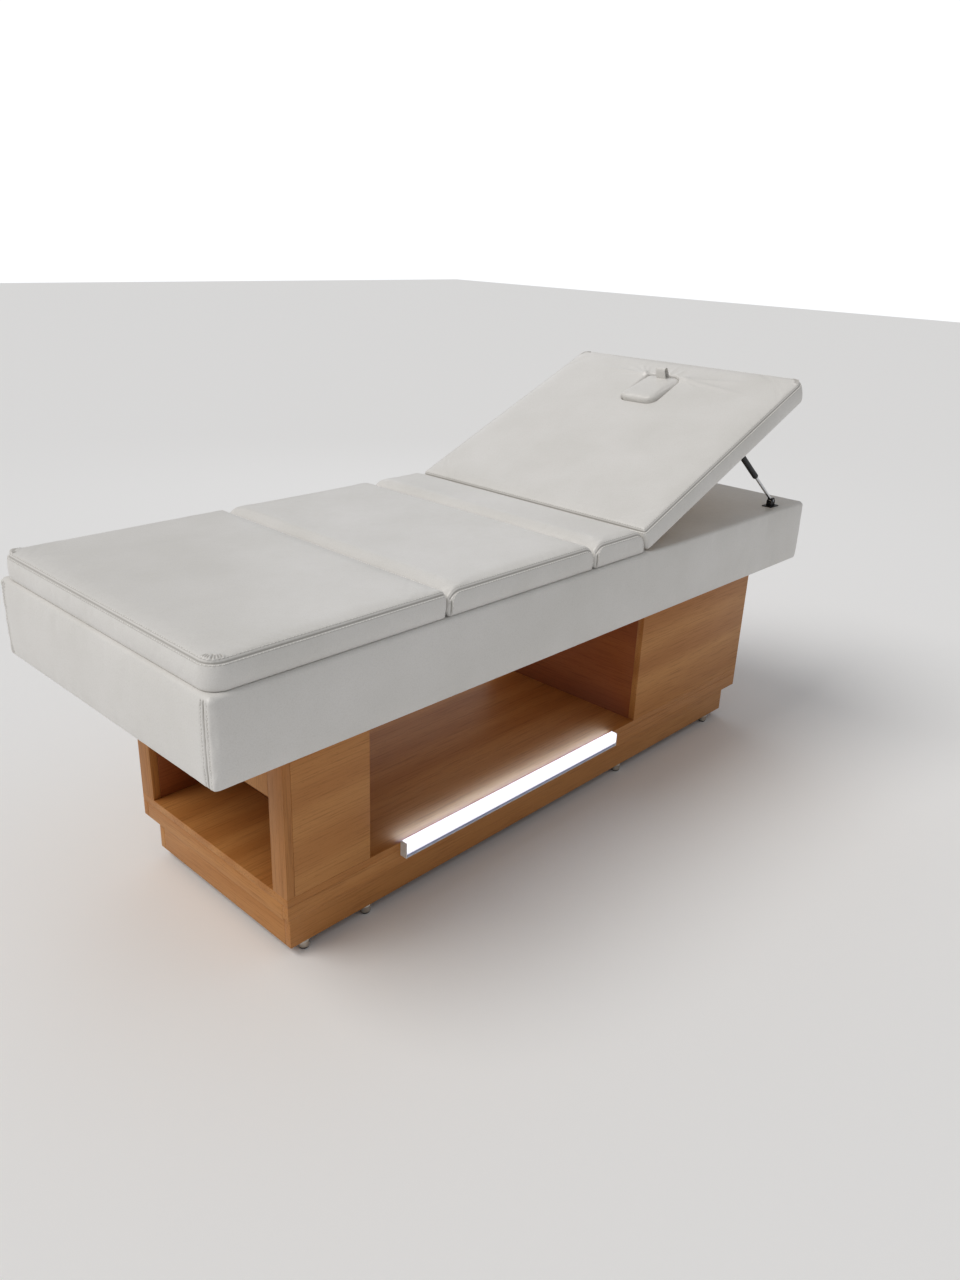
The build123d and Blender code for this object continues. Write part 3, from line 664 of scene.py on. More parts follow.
@dataclass
class PaddedForm:
    """A cover drawn over foam: a top panel and side bands, swollen by pressure, then creased and stitched."""

    name: str
    low: Vector
    high: Vector
    foot_corner: float
    head_corner: float
    sewn_ends: bool = True
    sewn_sides: bool = True
    cell: float = 0.006
    inset: float = 0.004  # side's plane to the panel's edge
    wrap_radius: float = 0.015  # rounding over the long sides
    end_radius: float = 0.015  # rounding over the ends
    bulge: float = 0.0012
    tuck: float = 0.004
    board: float = 0.012
    crown: float = 0.0035
    give: float = 0.0010
    side_cell: float = 0.0065
    panel_lines_x: tuple[float, ...] = ()
    panel_lines_y: tuple[float, ...] = ()
    waviness: float = 0.0004
    wavy_top: float = 1.0  # share of the waviness that the top panel takes
    piece: bpy.types.Object = field(init=False)

    step = 0.001  # drop of one band before it is put in place
    shade_name = "seam_shade"
    seam_lines = (0.0, 0.0016, 0.0032, 0.0052, 0.008, 0.012)  # panel's lines in from its edge
    seam_notch = (-0.0034, -0.0007, -0.0010, -0.0001, 0.0, 0.0)  # depth of the seam at those lines
    side_notch = (0.0026, 0.0005, 0.0008, 0.0)  # depth of the seam at the first bands below

    def __post_init__(self) -> None:
        """Works out the middle and the half sizes of the panel."""
        self.middle = (self.low + self.high) / 2
        self.half = np.array([self.high.x - self.low.x, self.high.y - self.low.y]) / 2 - self.inset
        self.thickness = self.high.z - self.low.z

    def lines(self, half: float, extra: Sequence[float]) -> np.ndarray:
        """Places of the panel's lines along one axis, finer at its edges.

        Args:
            half: half the panel.
            extra: more places wanted.

        Returns:
            The places, from the middle, in order.
        """
        edge = np.array(self.seam_lines)
        inner = half - edge[-1]
        count = max(2, round(2 * inner / self.cell))
        places = np.concatenate([edge - half, np.linspace(-inner, inner, count + 1), half - edge, extra])
        places = np.unique(places.round(6))
        keep = np.concatenate([[True], np.diff(places) > 0.0006])
        keep[-1] = True
        return places[keep]

    def section(self, radius: float, sewn: bool) -> np.ndarray:
        """The side below the panel's edge, as rows of (out, up) from the top of the side's plane.

        Args:
            radius: rounding of the edge.
            sewn: whether a seam runs along it.

        Returns:
            The rows, from the panel's edge down and back under.
        """
        start = math.asin(1 - self.inset / radius)
        turns = [start + (math.pi / 2 - start) * i / 5 for i in range(1, 5)]
        notch = self.side_notch if sewn else (0.0,) * len(turns)
        rows = []
        for turn, depth in zip(turns, notch):
            reach = radius - depth
            rows.append((reach * math.sin(turn) - radius, reach * math.cos(turn) - radius))
        low = self.thickness - 0.004
        count = max(3, round((low - self.wrap_radius) / self.side_cell))
        for i in range(count):
            share = i / count
            rows.append((self.bulge * math.sin(math.pi * share), -radius - (low - radius) * share))
        drop = self.thickness
        return np.array(rows + [(-0.0004, -low), (-0.0016, 0.0012 - drop), (-self.tuck + 0.0004, -drop),
                                (-self.tuck, -drop), (-self.tuck, self.board - drop)])

    def corner_radius(self, x: np.ndarray) -> np.ndarray:
        """Radius of the panel's own corners at places along X."""
        return np.where(x < 0, self.foot_corner, self.head_corner) - self.inset

    def lay_panel(self) -> None:
        """Makes the panel as a grid and draws its edge down into bands."""
        xs = self.lines(self.half[0], self.panel_lines_x)
        ys = self.lines(self.half[1], self.panel_lines_y)
        bpy.ops.object.select_all(action="DESELECT")
        bpy.ops.mesh.primitive_grid_add(x_subdivisions=len(xs) - 1, y_subdivisions=len(ys) - 1, size=2)
        self.piece = settle(bpy.context.object, self.name)
        even = points_of(self.piece)
        column = np.rint((even[:, 0] + 1) / 2 * (len(xs) - 1)).astype(int)
        row = np.rint((even[:, 1] + 1) / 2 * (len(ys) - 1)).astype(int)
        move_points(self.piece, np.column_stack([xs[column], ys[row], np.zeros(len(even))]))
        with editing(self.piece, "EDGE"):
            bpy.ops.mesh.select_all(action="SELECT")
            bpy.ops.mesh.region_to_loop()
            for _ in range(len(self.section(self.wrap_radius, True))):
                bpy.ops.mesh.extrude_region_move(TRANSFORM_OT_translate={"value": (0, 0, -self.step)})

    def fall(self, away: np.ndarray, radius: float, sewn: bool) -> np.ndarray:
        """Height of the panel beside one edge.

        Args:
            away: distances in from the panel's edge.
            radius: rounding of the edge.
            sewn: whether the edge has a seam.

        Returns:
            The heights, zero far from the edge.
        """
        reach = np.clip(radius - self.inset - away, 0, None)
        rounded = np.sqrt(radius ** 2 - reach ** 2) - radius
        return rounded + (np.interp(away, self.seam_lines, self.seam_notch) if sewn else 0.0)

    def shape(self) -> None:
        """Rounds the corners, gives the edges their section and puts the form at its place."""
        laid = points_of(self.piece)
        x, y = laid[:, 0].copy(), laid[:, 1].copy()
        band = np.rint(-laid[:, 2] / self.step).astype(int)
        radius = self.corner_radius(x)
        inner = self.half[None, :] - radius[:, None]
        a = (np.abs(x) - inner[:, 0]) / radius
        b = (np.abs(y) - inner[:, 1]) / radius
        corner = (a > 1e-6) & (b > 1e-6)
        round_x = a * np.sqrt(np.clip(1 - b * b / 2, 0, 1))
        round_y = b * np.sqrt(np.clip(1 - a * a / 2, 0, 1))
        px = np.where(corner, np.sign(x) * (inner[:, 0] + radius * round_x), x)
        py = np.where(corner, np.sign(y) * (inner[:, 1] + radius * round_y), y)
        out_x = np.where(corner, np.sign(x) * round_x, np.sign(x) * (np.abs(x) > self.half[0] - 1e-6))
        out_y = np.where(corner, np.sign(y) * round_y, np.sign(y) * (np.abs(y) > self.half[1] - 1e-6))
        length = np.maximum(np.hypot(out_x, out_y), 1e-9)
        out_x, out_y = out_x / length, out_y / length
        self.band = band
        self.end_away = self.half[0] - np.abs(x)
        self.side_away = self.half[1] - np.abs(y)
        end_fall = self.fall(self.end_away, self.end_radius, self.sewn_ends)
        side_fall = self.fall(self.side_away, self.wrap_radius, self.sewn_sides)
        drawn_over = self.sewn_sides and not self.sewn_ends
        falls = end_fall + side_fall if drawn_over else np.minimum(end_fall, side_fall)
        on_side = band > 0
        ends = self.section(self.end_radius, self.sewn_ends)
        row = np.clip(band - 1, 0, len(ends) - 1)
        facing = (out_x ** 2)[:, None]
        section = ends[row] * facing + self.section(self.wrap_radius, self.sewn_sides)[row] * (1 - facing)
        out = np.where(on_side, section[:, 0] + self.inset, 0)
        up = np.where(on_side, np.minimum(section[:, 1], falls - 0.0009 * band), falls)
        place = np.column_stack([px + out_x * out, py + out_y * out, up])
        place += np.array([self.middle.x, self.middle.y, self.high.z])
        move_points(self.piece, place)
        self.mark_seams(out_x ** 2)

    def mark_seams(self, facing: np.ndarray) -> None:
        """Stores how much painted shade each vertex gets in and beside a seam, for the cover's colour.

        Args:
            facing: how much each edge vertex faces an end, from none to one.
        """
        sewn_away = np.minimum(self.end_away if self.sewn_ends else 1.0,
                               self.side_away if self.sewn_sides else 1.0)
        panel = np.interp(sewn_away, (0.0, 0.0016, 0.0032, 0.0052), (0.8, 0.05, 0.45, 0.0))
        sewn = facing * self.sewn_ends + (1 - facing) * self.sewn_sides
        side = np.interp(self.band, (0, 1, 2, 3, 4), (0.8, 0.4, 0.05, 0.45, 0.0)) * sewn
        shade = self.piece.data.attributes.new(self.shade_name, "FLOAT", "POINT")
        shade.data.foreach_set("value", np.where(self.band > 0, side, panel))

    def held(self) -> np.ndarray:
        """Which vertices the swelling leaves alone: seams, and what rests on the board."""
        last = self.band.max()
        seam = np.zeros(len(self.band), bool)
        near = self.seam_lines[3] + 1e-6
        if self.sewn_sides:
            seam |= (self.side_away < near) & (self.band < 3)
        if self.sewn_ends:
            seam |= (self.end_away < near) & (self.band < 3)
        return seam | (self.band > last - 4)

    def reach(self) -> np.ndarray:
        """How far the swelling may move each vertex."""
        return np.where(self.band == 0, self.crown, self.give)

    def swell(self, pressure: float = 4.0, frames: int = 14, slack: float = 0.006) -> None:
        """Blows the cover up a little as cloth, and keeps the result.

        Args:
            pressure: push of the foam against the cover.
            frames: how long the cloth moves.
            slack: how much larger the cover is cut than the foam.
        """
        before = points_of(self.piece)
        group = self.piece.vertex_groups.new(name="held")
        group.add([int(i) for i in np.flatnonzero(self.held())], 1.0, "REPLACE")
        cloth = self.piece.modifiers.new("Cloth", "CLOTH")
        cloth.settings.quality = 3
        cloth.settings.use_pressure = True
        cloth.settings.uniform_pressure_force = pressure
        cloth.settings.effector_weights.gravity = 0
        cloth.settings.vertex_group_mass = group.name
        cloth.settings.shrink_min = -slack
        cloth.collision_settings.use_collision = False
        for moment in range(1, frames + 1):
            bpy.context.scene.frame_set(moment)
        only(self.piece)
        bpy.ops.object.modifier_apply(modifier=cloth.name)
        self.piece.vertex_groups.clear()
        bpy.context.scene.frame_set(1)
        move = points_of(self.piece) - before
        length = np.maximum(np.linalg.norm(move, axis=1), 1e-9)
        most = np.maximum(self.reach(), 1e-9)
        move_points(self.piece, before + move * (most * np.tanh(length / most) / length)[:, None])

    def divide(self) -> None:
        """Halves the mesh's cells, rounding them off, and closes the underside."""
        modify(self.piece, "SUBSURF", levels=1, render_levels=1)
        with editing(self.piece, "EDGE"):
            bpy.ops.mesh.select_all(action="SELECT")
            bpy.ops.mesh.region_to_loop()
            bpy.ops.mesh.edge_face_add()
            bpy.ops.mesh.select_all(action="SELECT")
            bpy.ops.mesh.normals_make_consistent(inside=False)

    def refine(self, centre: Vector, radius: float) -> None:
        """Divides the faces about a point once more.

        Args:
            centre: the point.
            radius: how far from it.
        """
        away = np.linalg.norm(face_centres(self.piece) - np.array(centre), axis=1)
        select_faces(self.piece, away < radius)
        with editing(self.piece):
            bpy.ops.mesh.subdivide(number_cuts=1, smoothness=0.0)

    def crease(self, creases: Sequence[Crease]) -> None:
        """Raises folds and presses grooves into the cover, along its own normals, and paints shade into the
        grooves that carry it.
        """
        points = points_of(self.piece)
        normals = point_normals(self.piece)
        push = np.zeros(len(points))
        shade = self.shades()
        for crease in creases:
            start = np.array(crease.start)
            run = np.array(crease.end) - start
            share = np.clip((points - start) @ run / (run @ run), 0, 1)
            away = np.linalg.norm(points - start - share[:, None] * run, axis=1)
            rises = crease.height > 0 and not crease.even
            fade = np.minimum(1.0, 0.35 + 8 * share) * (1 - share) ** 0.7 if rises else 1.0
            near = np.exp(-(away / crease.width) ** 2)
            push += crease.height * fade * near
            shade = np.maximum(shade, crease.shade * near)
        move_points(self.piece, points + normals * push[:, None])
        self.piece.data.attributes[self.shade_name].data.foreach_set("value", shade)

    def shades(self) -> np.ndarray:
        """How much painted shade each vertex has, from none to one."""
        values = np.zeros(len(self.piece.data.vertices))
        self.piece.data.attributes[self.shade_name].data.foreach_get("value", values)
        return values

    def ripple(self, size: float = 0.11) -> None:
        """Lets the cover wander a little, as cloth on foam does.

        Args:
            size: distance from one low wave to the next.
        """
        points = points_of(self.piece)
        normals = point_normals(self.piece)
        lift = np.array([noise.noise(Vector(p) / size) for p in points]) * self.waviness
        lift *= np.clip((points[:, 2] - self.low.z) / 0.012, 0, 1)
        lift *= 1 - (1 - self.wavy_top) * np.clip(normals[:, 2], 0, 1)
        move_points(self.piece, points + normals * lift[:, None])

    def outline(self, out: float, height: float) -> list[Vector]:
        """A closed line round the form.

        Args:
            out: distance outwards from the sides' plane.
            height: its level, from the top.

        Returns:
            Points about 2 mm apart, counter-clockwise from the foot end of the near side.
        """
        corners = ((-1, -1, self.foot_corner, math.pi), (1, -1, self.head_corner, -math.pi / 2),
                   (1, 1, self.head_corner, 0.0), (-1, 1, self.foot_corner, math.pi / 2))
        half = self.half + self.inset
        ring = []
        for side_x, side_y, radius, start in corners:
            arc = max(radius + out, 0.0005)
            centre = Vector((side_x * (half[0] - radius), side_y * (half[1] - radius), 0)) + self.middle
            for i in range(9):
                turn = start + math.pi / 2 * i / 8
                ring.append(Vector((centre.x + arc * math.cos(turn), centre.y + arc * math.sin(turn),
                                    self.high.z + height)))
        return ring + [ring[0]]


@dataclass(frozen=True)
class Needle:
    """Machine stitching: short capsules of thread along a line on a cover."""

    pitch: float = 0.0072
    length: float = 0.0052
    thickness: float = 0.0018  # real thread is 0.8 mm, drawn thicker so that it shows

    def stitch(self) -> bpy.types.Object:
        """One stitch, lying along X."""
        bpy.ops.object.select_all(action="DESELECT")
        bpy.ops.mesh.primitive_uv_sphere_add(segments=6, ring_count=4, radius=0.5,
                                             rotation=(0, math.pi / 2, 0))
        stitch = bpy.context.object
        stitch.scale = (self.thickness * 0.8, self.thickness, self.length)
        return settle(stitch, "stitch")

    def sew(self, name: str, cover: bpy.types.Object, lines: Sequence[Sequence[Vector]]) -> bpy.types.Object:
        """Sews lines of stitches onto a cover.

        Args:
            name: the stitching's name.
            cover: the finished cover.
            lines: the lines to follow, near the cover.

        Returns:
            The stitching, as one piece.
        """
        surface = BVHTree.FromObject(cover, bpy.context.evaluated_depsgraph_get())
        places = []
        for line in lines:
            for centre, along in self.stations(line):
                spot, normal, _, away = surface.find_nearest(centre)
                if spot is None or away > 0.02:
                    continue
                across = normal.cross(along).normalized()
                forward = across.cross(normal).normalized()
                turn = Matrix((forward, across, normal)).transposed().to_4x4()
                places.append(Matrix.Translation(spot + normal * self.thickness * 0.22) @ turn)
        return repeated(name, self.stitch(), places)

    def stations(self, line: Sequence[Vector]) -> Iterator[tuple[Vector, Vector]]:
        """Where the stitches go along a line.

        Args:
            line: its points.

        Returns:
            Each stitch's middle and its direction, in turn.
        """
        spare = self.pitch / 2
        for a, b in zip(line, line[1:]):
            run = b - a
            while spare < run.length:
                yield a + run.normalized() * spare, run.normalized()
                spare += self.pitch
            spare -= run.length


NEEDLE = Needle()


def gathers(centre: Vector, inward: Vector, outward: Vector, radius: float, reach: float, count: int,
            height: float, width: float) -> list[Crease]:
    """Short folds that fan out from a corner's seam.

    Args:
        centre: middle of the corner's arc.
        inward: direction from the centre where the fan starts.
        outward: direction from the centre where it ends, square to the first.
        radius: how far from the centre the folds start.
        reach: how long they are, towards the centre if negative.
        count: how many.
        height: how far they rise.
        width: how wide they are.

    Returns:
        The folds, uneven as hand-sewn gathers are.
    """
    folds = []
    for i in range(2 * count):
        wander = noise.noise(Vector((i * 1.7, centre.x * 9, centre.y * 9)))
        turn = math.pi / 4 * (i + 0.5 + 0.35 * wander) / count
        away = inward * math.cos(turn) + outward * math.sin(turn)
        start = centre + away * radius
        end = start + away * reach * (1 + 0.5 * wander)
        if i % 2:
            folds.append(Crease(start, end, width * (1 + 0.25 * wander), height * (1 + 0.4 * wander)))
        else:
            # The grooves between the folds get painted shade.
            folds.append(Crease(start, start + (end - start) * 0.6, width * 0.6, -0.6 * height, shade=0.85))
    return folds


# ---------------------------------------------------------------- cushions
@dataclass
class SewnCushion:
    """Leg cushion: a boxed cover with a double-stitched seam right round its top edge."""

    node: str = "leg_cushion"
    foot_corner: float = 0.035
    head_corner: float = 0.010
    row_in: float = 0.0036  # seam to its upper stitches
    row_down: float = 0.0092  # top to its lower stitches

    def build(self) -> list[bpy.types.Object]:
        """Makes the cushion and its stitches.

        Returns:
            The cushion, then its stitching.
        """
        low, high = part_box(self.node)
        form = PaddedForm(self.node + "_cover", low, high, self.foot_corner, self.head_corner)
        form.lay_panel()
        form.shape()
        form.swell()
        form.divide()
        folds = []
        for side in (-1, 1):
            centre = Vector((low.x + self.foot_corner, side * (high.y - self.foot_corner), high.z))
            form.refine(centre + Vector((-0.5, side * 0.5, 0)) * self.foot_corner, 0.034)
            folds += gathers(centre, Vector((-1, 0, 0)), Vector((0, side, 0)), self.foot_corner - 0.0045,
                             -0.018, 8, 0.0028, 0.0027)
            folds += gathers(centre - Vector((0, 0, 0.009)), Vector((-1, 0, 0)), Vector((0, side, 0)),
                             self.foot_corner - 0.001, 0.002, 5, 0.0010, 0.0034)
        folds += self.tension(low, high)
        form.crease(folds)
        form.ripple()
        smooth(form.piece, 60)
        rows = [form.outline(-form.inset - self.row_in, -0.0022), form.outline(-0.0010, -self.row_down)]
        stitches = NEEDLE.sew(self.node + "_stitches", form.piece, rows)
        return [form.piece, stitches]

    def tension(self, low: Vector, high: Vector) -> list[Crease]:
        """Faint drag lines behind the foot edge, where the cover is pulled down.

        Args:
            low: the cushion's lowest corner.
            high: its highest corner.

        Returns:
            The folds.
        """
        starts = ((0.045, 0.26, 0.075), (0.062, 0.17, 0.06), (0.05, -0.12, 0.05), (0.04, -0.26, 0.055))
        folds = []
        for x, y, run in starts:
            start = Vector((low.x + x, y, high.z))
            folds.append(Crease(start, start + Vector((run, -0.4 * run, 0)), 0.008, 0.0013))
        return folds

    def dress(self, pieces: list[bpy.types.Object]) -> None:
        cover, stitches = pieces
        fit_out(cover, LEATHERETTE, "base", "ivory_cushion", [self.node])
        fit_out(stitches, THREAD, "base", "ivory_cushion")


@dataclass
class WrappedCushion:
    """Seat or narrow cushion: the cover wraps over both ends, and flat side panels are sewn into it."""

    node: str
    corner: float = 0.009
    arc: float = 0.029  # rounding of the cover over the two ends
    lean: float = 0.0  # how far the head end's top leans towards the foot
    row: float = 0.0088  # top to the stitches on the side panel

    def build(self) -> list[bpy.types.Object]:
        """Makes the cushion and its stitches.

        Returns:
            The cushion, then its stitching.
        """
        low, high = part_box(self.node)
        form = PaddedForm(self.node + "_cover", low, high, self.corner, self.corner, sewn_ends=False,
                          end_radius=self.arc)
        form.lay_panel()
        form.shape()
        form.swell()
        form.divide()
        folds = []
        lines = []
        for side in (-1, 1):
            plane = side * high.y
            for end, tip in ((-1, low.x), (1, high.x)):
                centre = Vector((tip - end * self.arc, plane - side * 0.002, high.z - self.arc))
                form.refine(centre + Vector((end * 0.008, 0, 0.008)), 0.03)
                folds += gathers(centre, Vector((end, 0, 0)), Vector((0, 0, 1)), self.arc - 0.001, 0.006, 6,
                                 0.0017, 0.0026)
                seam = tip - end * 0.0052
                foot, head = Vector((seam, plane, low.z)), Vector((seam, plane, high.z - 0.020))
                # Painted shade along the groove of the end seam.
                folds.append(Crease(foot, head, 0.0018, -0.0019, shade=1.0))
            lines += self.seam_rows(low, high, plane, side)
        form.crease(folds)
        form.ripple()
        smooth(form.piece, 60)
        stitches = NEEDLE.sew(self.node + "_stitches", form.piece, lines)
        if self.lean:
            self.tip_back(form.piece, low, high)
            self.tip_back(stitches, low, high)
        return [form.piece, stitches]

    def seam_rows(self, low: Vector, high: Vector, plane: float, side: int) -> list[list[Vector]]:
        """Lines of stitches on both sides of a side panel's seam.

        Args:
            low: the cushion's lowest corner.
            high: its highest corner.
            plane: the side panel's place along Y.
            side: its sign.

        Returns:
            One line on the side panel, up, over and down, and one on the top panel.
        """
        inner = []
        radius = self.arc - self.row
        for end, tip in ((-1, low.x), (1, high.x)):
            turns = [math.pi / 2 * i / 8 for i in range(9)]
            arc = [Vector((tip - end * (self.arc - radius * math.cos(a)), plane,
                           high.z - self.arc + radius * math.sin(a))) for a in turns]
            rise = [Vector((tip - end * self.row, plane, low.z + 0.004))] + arc
            inner += rise if end < 0 else rise[::-1]
        inset = plane - side * 0.0076
        level = high.z - 0.002
        upper = [Vector((low.x + self.arc, inset, level)), Vector((high.x - self.arc, inset, level))]
        return [inner, upper]

    def tip_back(self, piece: bpy.types.Object, low: Vector, high: Vector) -> None:
        """Leans the head end towards the foot, clear of the raised back.

        Args:
            piece: the cover or its stitches.
            low: the cushion's lowest corner.
            high: its highest corner.
        """
        points = points_of(piece)
        share = np.clip((points[:, 0] - high.x + 0.07) / 0.07, 0, 1)
        rise = np.clip((points[:, 2] - low.z) / (high.z - low.z), 0, 1.2)
        points[:, 0] -= self.lean * share * rise
        move_points(piece, points)

    def dress(self, pieces: list[bpy.types.Object]) -> None:
        cover, stitches = pieces
        fit_out(cover, LEATHERETTE, "base", "ivory_cushion", [self.node])
        fit_out(stitches, THREAD, "base", "ivory_cushion")


@dataclass
class BackCushion:
    """Back cushion: sewn like the leg cushion, with the face hole and the struts' recesses."""

    hinge: BackHinge
    foot_corner: float = 0.010
    head_corner: float = 0.035
    hole_corner: float = 0.026
    rim: float = 0.007  # rounding of the cover into the face hole
    clearance: float = 0.0015  # plug to the hole's wall
    strut_room: float = 0.032
    row_in: float = 0.0036
    row_down: float = 0.0092

    def build(self) -> list[bpy.types.Object]:
        """Makes the cushion and its stitches, at rest.

        Returns:
            The cushion, then its stitching.
        """
        low, high = self.hinge.flat_box("back_cushion")
        board_low, board_high = self.hinge.flat_box("back_board")
        plug_low, plug_high = self.hinge.flat_box("face_plug")
        hole_low = Vector((plug_low.x - self.clearance, plug_low.y - self.clearance, low.z - 0.01))
        hole_high = Vector((plug_high.x + self.clearance, plug_high.y + self.clearance, high.z + 0.02))
        form = PaddedForm("back_cushion_cover", low, high, self.foot_corner, self.head_corner,
                          board=board_high.z - board_low.z)
        form.lay_panel()
        form.shape()
        form.swell()
        form.divide()
        centre = (hole_low + hole_high) / 2
        centre.z = high.z
        form.refine(centre + Vector((0.03, 0, 0)), 0.20)
        folds = []
        for side in (-1, 1):
            middle = Vector((high.x - self.head_corner, side * (high.y - self.head_corner), high.z))
            form.refine(middle + Vector((0.5, side * 0.5, 0)) * self.head_corner, 0.034)
            folds += gathers(middle, Vector((1, 0, 0)), Vector((0, side, 0)), self.head_corner - 0.0045,
                             -0.018, 8, 0.0028, 0.0027)
        self.sink_rim(form.piece, hole_low, hole_high, high.z)
        form.crease(folds + self.puckers(hole_low, hole_high, high.z))
        form.ripple()
        self.cut(form.piece, self.cutters(hole_low, hole_high, low))
        smooth(form.piece, 60)
        rows = [form.outline(-form.inset - self.row_in, -0.0022), form.outline(-0.0010, -self.row_down)]
        stitches = NEEDLE.sew("back_cushion_stitches", form.piece, rows)
        for piece in (form.piece, stitches):
            piece.data.transform(self.hinge.raised())
        return [form.piece, stitches]

    def sink_rim(self, piece: bpy.types.Object, low: Vector, high: Vector, top: float) -> None:
        """Rolls the cover over into the face hole.

        Args:
            piece: the cushion, laid flat.
            low: the hole's lowest corner.
            high: its highest corner.
            top: the cushion's top.
        """
        points = points_of(piece)
        corner = self.hole_corner
        half = np.array([high.x - low.x, high.y - low.y]) / 2
        centre = np.array([high.x + low.x, high.y + low.y]) / 2
        beyond = np.abs(points[:, :2] - centre) - (half - corner)
        away = np.hypot(*np.clip(beyond, 0, None).T) + np.minimum(beyond.max(1), 0) - corner
        reach = np.clip(self.rim - away, 0, self.rim)
        drop = self.rim - np.sqrt(self.rim ** 2 - reach ** 2)
        upper = points[:, 2] > top - 0.02
        points[:, 2] -= np.where(upper, drop, 0)
        move_points(piece, points)

    def puckers(self, low: Vector, high: Vector, top: float) -> list[Crease]:
        """Folds that radiate from the head end of the face hole, where the plug's cover is sewn in.

        Args:
            low: the hole's lowest corner.
            high: its highest corner.
            top: the cushion's top.

        Returns:
            The folds, longest towards the two sides.
        """
        near = ((-8, 0.215, 0.0085, 0.0055), (9, 0.19, 0.0090, 0.0048), (27, 0.10, 0.0070, 0.0036),
                (46, 0.06, 0.0055, 0.0030), (-27, 0.08, 0.0070, 0.0026), (66, 0.045, 0.0050, 0.0028))
        far = ((4, 0.17, 0.0090, 0.0052), (25, 0.09, 0.0070, 0.0040), (46, 0.07, 0.0062, 0.0044),
               (66, 0.055, 0.0055, 0.0034), (-16, 0.08, 0.0070, 0.0026))
        folds = []
        for side, fan, edge in ((-1, near, low.y), (1, far, high.y)):
            start = Vector((high.x - 0.012, edge + side * 0.002, top))
            for degrees, run, width, height in fan:
                turn = math.radians(degrees)
                away = Vector((math.sin(turn), side * math.cos(turn), 0))
                folds.append(Crease(start, start + away * run, width, height * 0.8))
        for offset, run, height in ((-0.030, 0.04, 0.0035), (-0.006, 0.052, 0.003), (0.024, 0.046, 0.0038)):
            start = Vector((high.x + 0.002, (low.y + high.y) / 2 + offset, top))
            folds.append(Crease(start, start + Vector((run, offset * 0.35, 0)), 0.0062, height))
        return folds

    def cutters(self, low: Vector, high: Vector, cushion_low: Vector) -> list[bpy.types.Object]:
        """Solids of the face hole and of the two strut recesses.

        Args:
            low: the hole's lowest corner.
            high: its highest corner.
            cushion_low: the cushion's lowest corner.

        Returns:
            The solids.
        """
        hole = self.box("hole_cutter", low, high)
        self.round_uprights(hole, self.hole_corner)
        bracket_low, bracket_high = self.hinge.flat_box("strut_upper_brackets")
        foot = bracket_low.x - 0.016
        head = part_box("strut_lower_brackets")[1].x + 0.012
        solids = [hole]
        for side in (-1, 1):
            middle = side * self.strut_line()
            a = Vector((foot, middle - self.strut_room / 2, cushion_low.z - 0.01))
            b = Vector((head, middle + self.strut_room / 2, bracket_high.z))
            solids.append(self.box(f"recess_cutter_{side}", a, b))
        return solids

    def strut_line(self) -> float:
        """Distance of a strut's axis from the middle."""
        low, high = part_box("strut_tube_far")
        return (low.y + high.y) / 2

    def box(self, name: str, low: Vector, high: Vector) -> bpy.types.Object:
        """A plain box between two corners."""
        bpy.ops.object.select_all(action="DESELECT")
        bpy.ops.mesh.primitive_cube_add(size=1, location=(low + high) / 2)
        cube = bpy.context.object
        cube.scale = high - low
        return settle(cube, name)

    def round_uprights(self, piece: bpy.types.Object, radius: float) -> None:
        """Rounds a box's four upright edges."""
        points = points_of(piece)
        mesh = piece.data
        upright = [abs(points[e.vertices[0]][2] - points[e.vertices[1]][2]) > 1e-6 for e in mesh.edges]
        mesh.polygons.foreach_set("select", np.zeros(len(mesh.polygons), bool))
        mesh.vertices.foreach_set("select", np.zeros(len(mesh.vertices), bool))
        mesh.edges.foreach_set("select", np.array(upright))
        with editing(piece, "EDGE"):
            bpy.ops.mesh.bevel(offset=radius, segments=8, affect="EDGES")

    def cut(self, piece: bpy.types.Object, cutters: list[bpy.types.Object]) -> None:
        """Takes solids out of a piece, and removes them."""
        for cutter in cutters:
            modify(piece, "BOOLEAN", operation="DIFFERENCE", object=cutter, solver="MANIFOLD")
            bpy.data.objects.remove(cutter)

    def dress(self, pieces: list[bpy.types.Object]) -> None:
        cover, stitches = pieces
        fit_out(cover, LEATHERETTE, "back", "ivory_cushion", ["back_cushion"])
        fit_out(stitches, THREAD, "back", "ivory_cushion")


